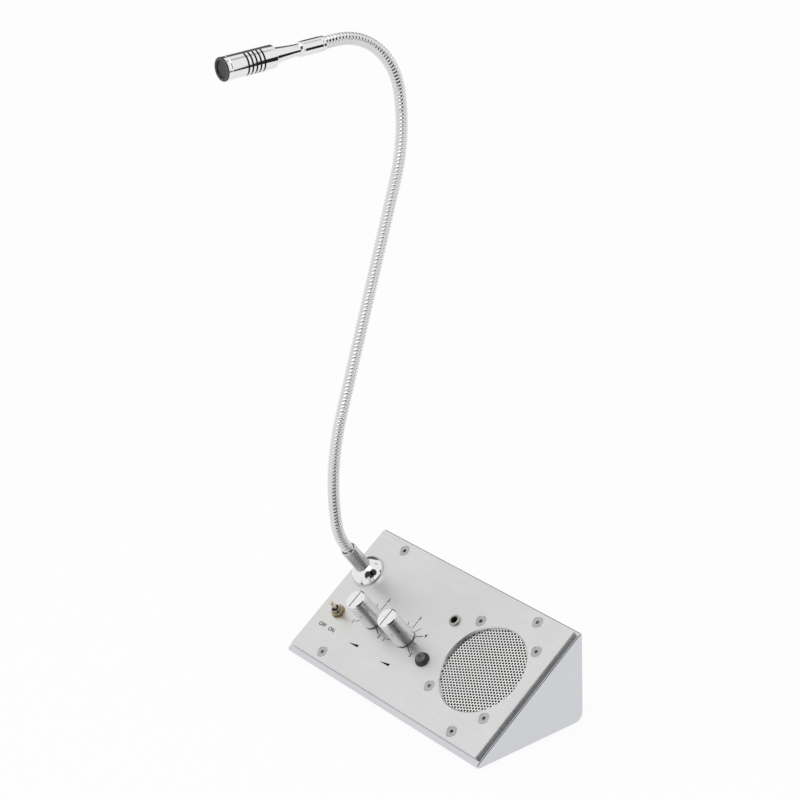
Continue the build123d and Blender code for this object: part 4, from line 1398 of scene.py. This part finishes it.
# ---------------------------------------------------------------- print
@dataclass
class Print:
    """Dark print on the plate: the dials, a volume sign under each and the switch's two words."""

    paint: Palette
    thickness: float = 0.03
    letter: float = 2.8
    heavier: float = 0.07
    dial_inner: float = 8.0
    long_tick: Pair = (0.50, 14.0)
    short_tick: Pair = (0.42, 12.4)
    number_radius: float = 15.9
    sign: Outline = ((-4.6, -0.95), (4.6, -0.95), (4.6, 0.95))
    sign_below: float = 20.6
    words_place: Pair = (-78.0, -27.9)
    pieces: list[Piece] = field(default_factory=list)

    def text(self, words: str, place: Pair) -> None:
        """Print a word or a number, centred at a place on the plate.

        Args:
            words: What is printed.
            place: Its middle.
        """
        Bench.clear()
        bpy.ops.object.text_add(location=(0, 0, 0))
        letters = bpy.context.object.data
        letters.body = words
        letters.size = self.letter / 0.72
        letters.align_x = letters.align_y = "CENTER"
        letters.extrude = self.thickness / 2
        letters.resolution_u = 4
        letters.offset = self.heavier
        bpy.ops.object.convert(target="MESH")
        self.keep(bpy.context.object, moved(*place))

    def keep(self, mark: Piece, place: Matrix) -> None:
        """Put a mark in its place on the plate."""
        self.pieces.append(Bench.shift(mark, place))

    def dial(self, middle: Pair) -> None:
        """Print the ticks round a knob, with the numbers 1 to 5 at the long ones.

        Args:
            middle: The knob's place on the plate.
        """
        for number in range(9):
            turn = -120 + 30 * number
            way = Vector((math.sin(math.radians(turn)), math.cos(math.radians(turn))))
            width, outer = self.short_tick if number % 2 else self.long_tick
            tick = Bench.bar("mark", width, outer - self.dial_inner, self.thickness)
            Bench.shift(tick, moved(up=(outer - self.dial_inner) / 2, height=-self.thickness / 2))
            self.keep(tick, moved(*(Vector(middle) + way * self.dial_inner), turn=-turn))
            if number % 2 == 0:
                self.text(str(number // 2 + 1), tuple(Vector(middle) + way * self.number_radius))

    def build(self) -> None:
        """Print both dials with their volume signs, and the switch's two words."""
        for middle in (TALK_PLACE, LISTEN_PLACE):
            self.dial(middle)
            sign = Bench.prism("mark", self.sign, self.thickness)
            self.keep(sign, moved(middle[0], middle[1] - self.sign_below, -self.thickness / 2))
        self.text("OFF   ON", self.words_place)
        ink = Bench.join("plate_print", self.pieces)
        finish_piece(ink, plate_seat(0, 0, self.thickness / 2), self.paint.ink, crease=20)


# ---------------------------------------------------------------- solids that keep their shape
def dress_solids(paint: Palette) -> None:
    """Give every solid its finish; the small hardware that isn't listed is zinc plated.

    Args:
        paint: The finishes.
    """
    finishes = {
        paint.black_metal: ("speaker_frame", "mic_capsule"),
        paint.cone: ("speaker_cone",),
        paint.magnet: ("speaker_magnet",),
        paint.brass: ("talk_shaft", "listen_shaft"),
        paint.lens: ("lamp_led",),
        # The mic jack's body is near black: painted shade of the hole in its nut.
        paint.hollow: ("mic_jack",),
        paint.black_plastic: ("line_jack", "board_capacitors", "amplifier_chip"),
        paint.board: ("circuit_board",),
        paint.white_plastic: ("board_posts",),
    }
    by_name = {name: material for material, names in finishes.items() for name in names}
    for name, node in frame["nodes"].items():
        material = by_name.get(name, paint.nut)
        if node.material_slots:
            for slot in node.material_slots:
                slot.link = "OBJECT"
                slot.material = material
        else:
            node.data.materials.append(material)


# ---------------------------------------------------------------- studio
@dataclass(frozen=True)
class Flag:
    """Round dark flag in the surroundings, with its place and size in degrees.

    Attributes:
        azimuth: Its azimuth, from +X towards +Y.
        height: Its height above the horizon.
        half: Half its width.
        soft: Width of its soft border.
        depth: Share of the light that it holds back.
    """

    azimuth: float
    height: float
    half: float
    soft: float
    depth: float

    def light(self, graph: Graph, way: Socket) -> Socket:
        """Share of the light that passes the flag.

        Args:
            graph: The nodes of the surroundings.
            way: The direction that is looked up.

        Returns:
            The socket with the share.
        """
        turn, rise = math.radians(self.azimuth), math.radians(self.height)
        middle = (math.cos(turn) * math.cos(rise), math.sin(turn) * math.cos(rise), math.sin(rise))
        edge = graph.add(
            "ShaderNodeMapRange", interpolation_type="SMOOTHSTEP",
            From_Min=math.cos(math.radians(self.half + self.soft)), From_Max=math.cos(math.radians(self.half)))
        graph.link(graph.vector("DOT_PRODUCT", way, middle), edge.inputs["Value"])
        return graph.number("MULTIPLY_ADD", edge.outputs["Result"], -self.depth, 1.0)


@dataclass
class Studio:
    """Pale floor, soft light, white surroundings and the camera.

    Attributes:
        spot: The camera's place.
        turn: Its rotation in degrees.
        lens: Its focal length in millimetres.
        floor_height: Where the feet stand.
        floor_tone: Colour of the floor, which takes the shadow.
        floor_glow: Share of plain white in what the camera sees of the floor.
        soft_light: Strength of the surroundings on dull surfaces.
        board_azimuth: Where the black board stands, in degrees.
        board_spot: Its distance and the height of its middle.
        board_size: Its thickness, width and height.
        flags: Dark flags that only shiny surfaces see.
    """

    spot: Spot = (0.975639, -0.765009, 0.725690)
    turn: Spot = (67.02195, 2.13666, 51.58976)
    lens: float = 98.996
    floor_height: float = -0.002
    floor_tone: float = 0.86
    floor_glow: float = 0.93
    soft_light: float = 0.80
    board_azimuth: float = 44.0
    board_spot: Pair = (0.8, 0.236)
    board_size: Spot = (0.02, 0.34, 0.47)
    flags: tuple[Flag, ...] = (
        Flag(-46, 20, 25, 6, 0.95),
        Flag(-14, 36, 17, 6, 0.95),
        Flag(133, 26, 17, 6, 0.88),
        Flag(75, 58, 5, 5, 0.40),
    )

    def camera(self) -> None:
        """Set the camera at the photograph's viewing angle."""
        data = bpy.data.cameras.new("camera")
        data.sensor_fit = "HORIZONTAL"
        data.sensor_width = 36.0
        data.lens = self.lens
        data.clip_start = 0.01
        data.clip_end = 60.0
        holder = bpy.data.objects.new("camera", data)
        holder.location = self.spot
        holder.rotation_euler = [math.radians(angle) for angle in self.turn]
        bpy.context.collection.objects.link(holder)
        bpy.context.scene.camera = holder

    def floor(self) -> None:
        """Lay a large pale floor that keeps a light shadow."""
        Bench.clear()
        bpy.ops.mesh.primitive_plane_add(size=24, location=(0, 0, self.floor_height))
        floor = Bench.named("floor")
        nodes = Nodes("pale_floor")
        nodes.set(Base_Color=(self.floor_tone, self.floor_tone, self.floor_tone, 1), Roughness=0.9)
        glow = nodes.add("ShaderNodeEmission", Strength=1.0, Color=(1, 1, 1, 1))
        path = nodes.add("ShaderNodeLightPath")
        seen = nodes.number("MAXIMUM", path.outputs["Is Camera Ray"], path.outputs["Is Glossy Ray"])
        mix = nodes.add("ShaderNodeMixShader")
        nodes.link(nodes.number("MULTIPLY", seen, self.floor_glow), mix.inputs[0])
        nodes.link(nodes.shader.outputs[0], mix.inputs[1])
        nodes.link(glow.outputs[0], mix.inputs[2])
        nodes.link(mix.outputs[0], nodes.tree.nodes["Material Output"].inputs["Surface"])
        floor.data.materials.append(nodes.material)

    def board(self) -> None:
        """Stand a black board behind the object, to the right, that only shiny surfaces see."""
        Bench.clear()
        turn = math.radians(self.board_azimuth)
        distance, height = self.board_spot
        spot = (distance * math.cos(turn), distance * math.sin(turn), height)
        bpy.ops.mesh.primitive_cube_add(size=1, location=spot, rotation=(0, 0, turn))
        board = Bench.named("flag")
        bpy.ops.transform.resize(value=self.board_size, orient_type="LOCAL")
        nodes = Nodes("black_cloth")
        nodes.set(Base_Color=(0.01, 0.01, 0.01, 1), Roughness=1.0)
        board.data.materials.append(nodes.material)
        board.visible_camera = board.visible_diffuse = board.visible_shadow = False

    def world(self) -> None:
        """Make the surroundings white, with dark flags that only shiny surfaces see."""
        world = bpy.data.worlds.new("surroundings")
        bpy.context.scene.world = world
        world.use_nodes = True
        graph = Graph(world.node_tree)
        graph.tree.nodes.clear()
        way = graph.add("ShaderNodeTexCoord").outputs["Generated"]
        shares = [flag.light(graph, way) for flag in self.flags]
        level = shares[0]
        for share in shares[1:]:
            level = graph.number("MULTIPLY", level, share)
        path = graph.add("ShaderNodeLightPath")
        level = graph.choose(path.outputs["Is Glossy Ray"], self.soft_light, level)
        level = graph.choose(path.outputs["Is Camera Ray"], level, 1.0)
        back = graph.add("ShaderNodeBackground", Color=(1, 1, 1, 1))
        graph.link(level, back.inputs["Strength"])
        graph.link(back.outputs[0], graph.add("ShaderNodeOutputWorld").inputs["Surface"])

    @staticmethod
    def lamp(name: str, spot: Spot, size: float, power: float) -> None:
        """Hang a soft square lamp that faces the object.

        Args:
            name: Name of the lamp.
            spot: Its place in metres.
            size: Its side in metres.
            power: Its power in watts.
        """
        data = bpy.data.lights.new(name, "AREA")
        data.size = size
        data.energy = power
        holder = bpy.data.objects.new(name, data)
        holder.location = spot
        holder.rotation_euler = (Vector((0, 0, 0.15)) - Vector(spot)).to_track_quat("-Z", "Y").to_euler()
        bpy.context.collection.objects.link(holder)

    def build(self) -> None:
        """Set up the studio."""
        self.camera()
        self.floor()
        self.world()
        self.board()
        self.lamp("key", (0.25, -0.7, 1.6), 0.9, 4.0)
        bpy.context.scene.view_settings.view_transform = "Standard"


def main() -> None:
    """Build the studio and every sub-assembly."""
    Studio().build()
    paint = Palette()
    dress_solids(paint)
    neck = Gooseneck(paint)
    parts = (
        Case(paint),
        Plate(paint),
        Screws(paint),
        Grille(paint),
        NeckSocket(paint),
        neck,
        Microphone(paint, neck),
        Toggle(paint),
        Knob(paint, "talk_grip", "talk_turn", "talk_control", "talk_knob"),
        Knob(paint, "listen_grip", "listen_turn", "listen_control", "listen_knob"),
        Lamp(paint),
        Sockets(paint),
        Print(paint),
    )
    for part in parts:
        part.build()
        log.info("built %s", type(part).__name__)


if __name__ == "__main__":
    main()
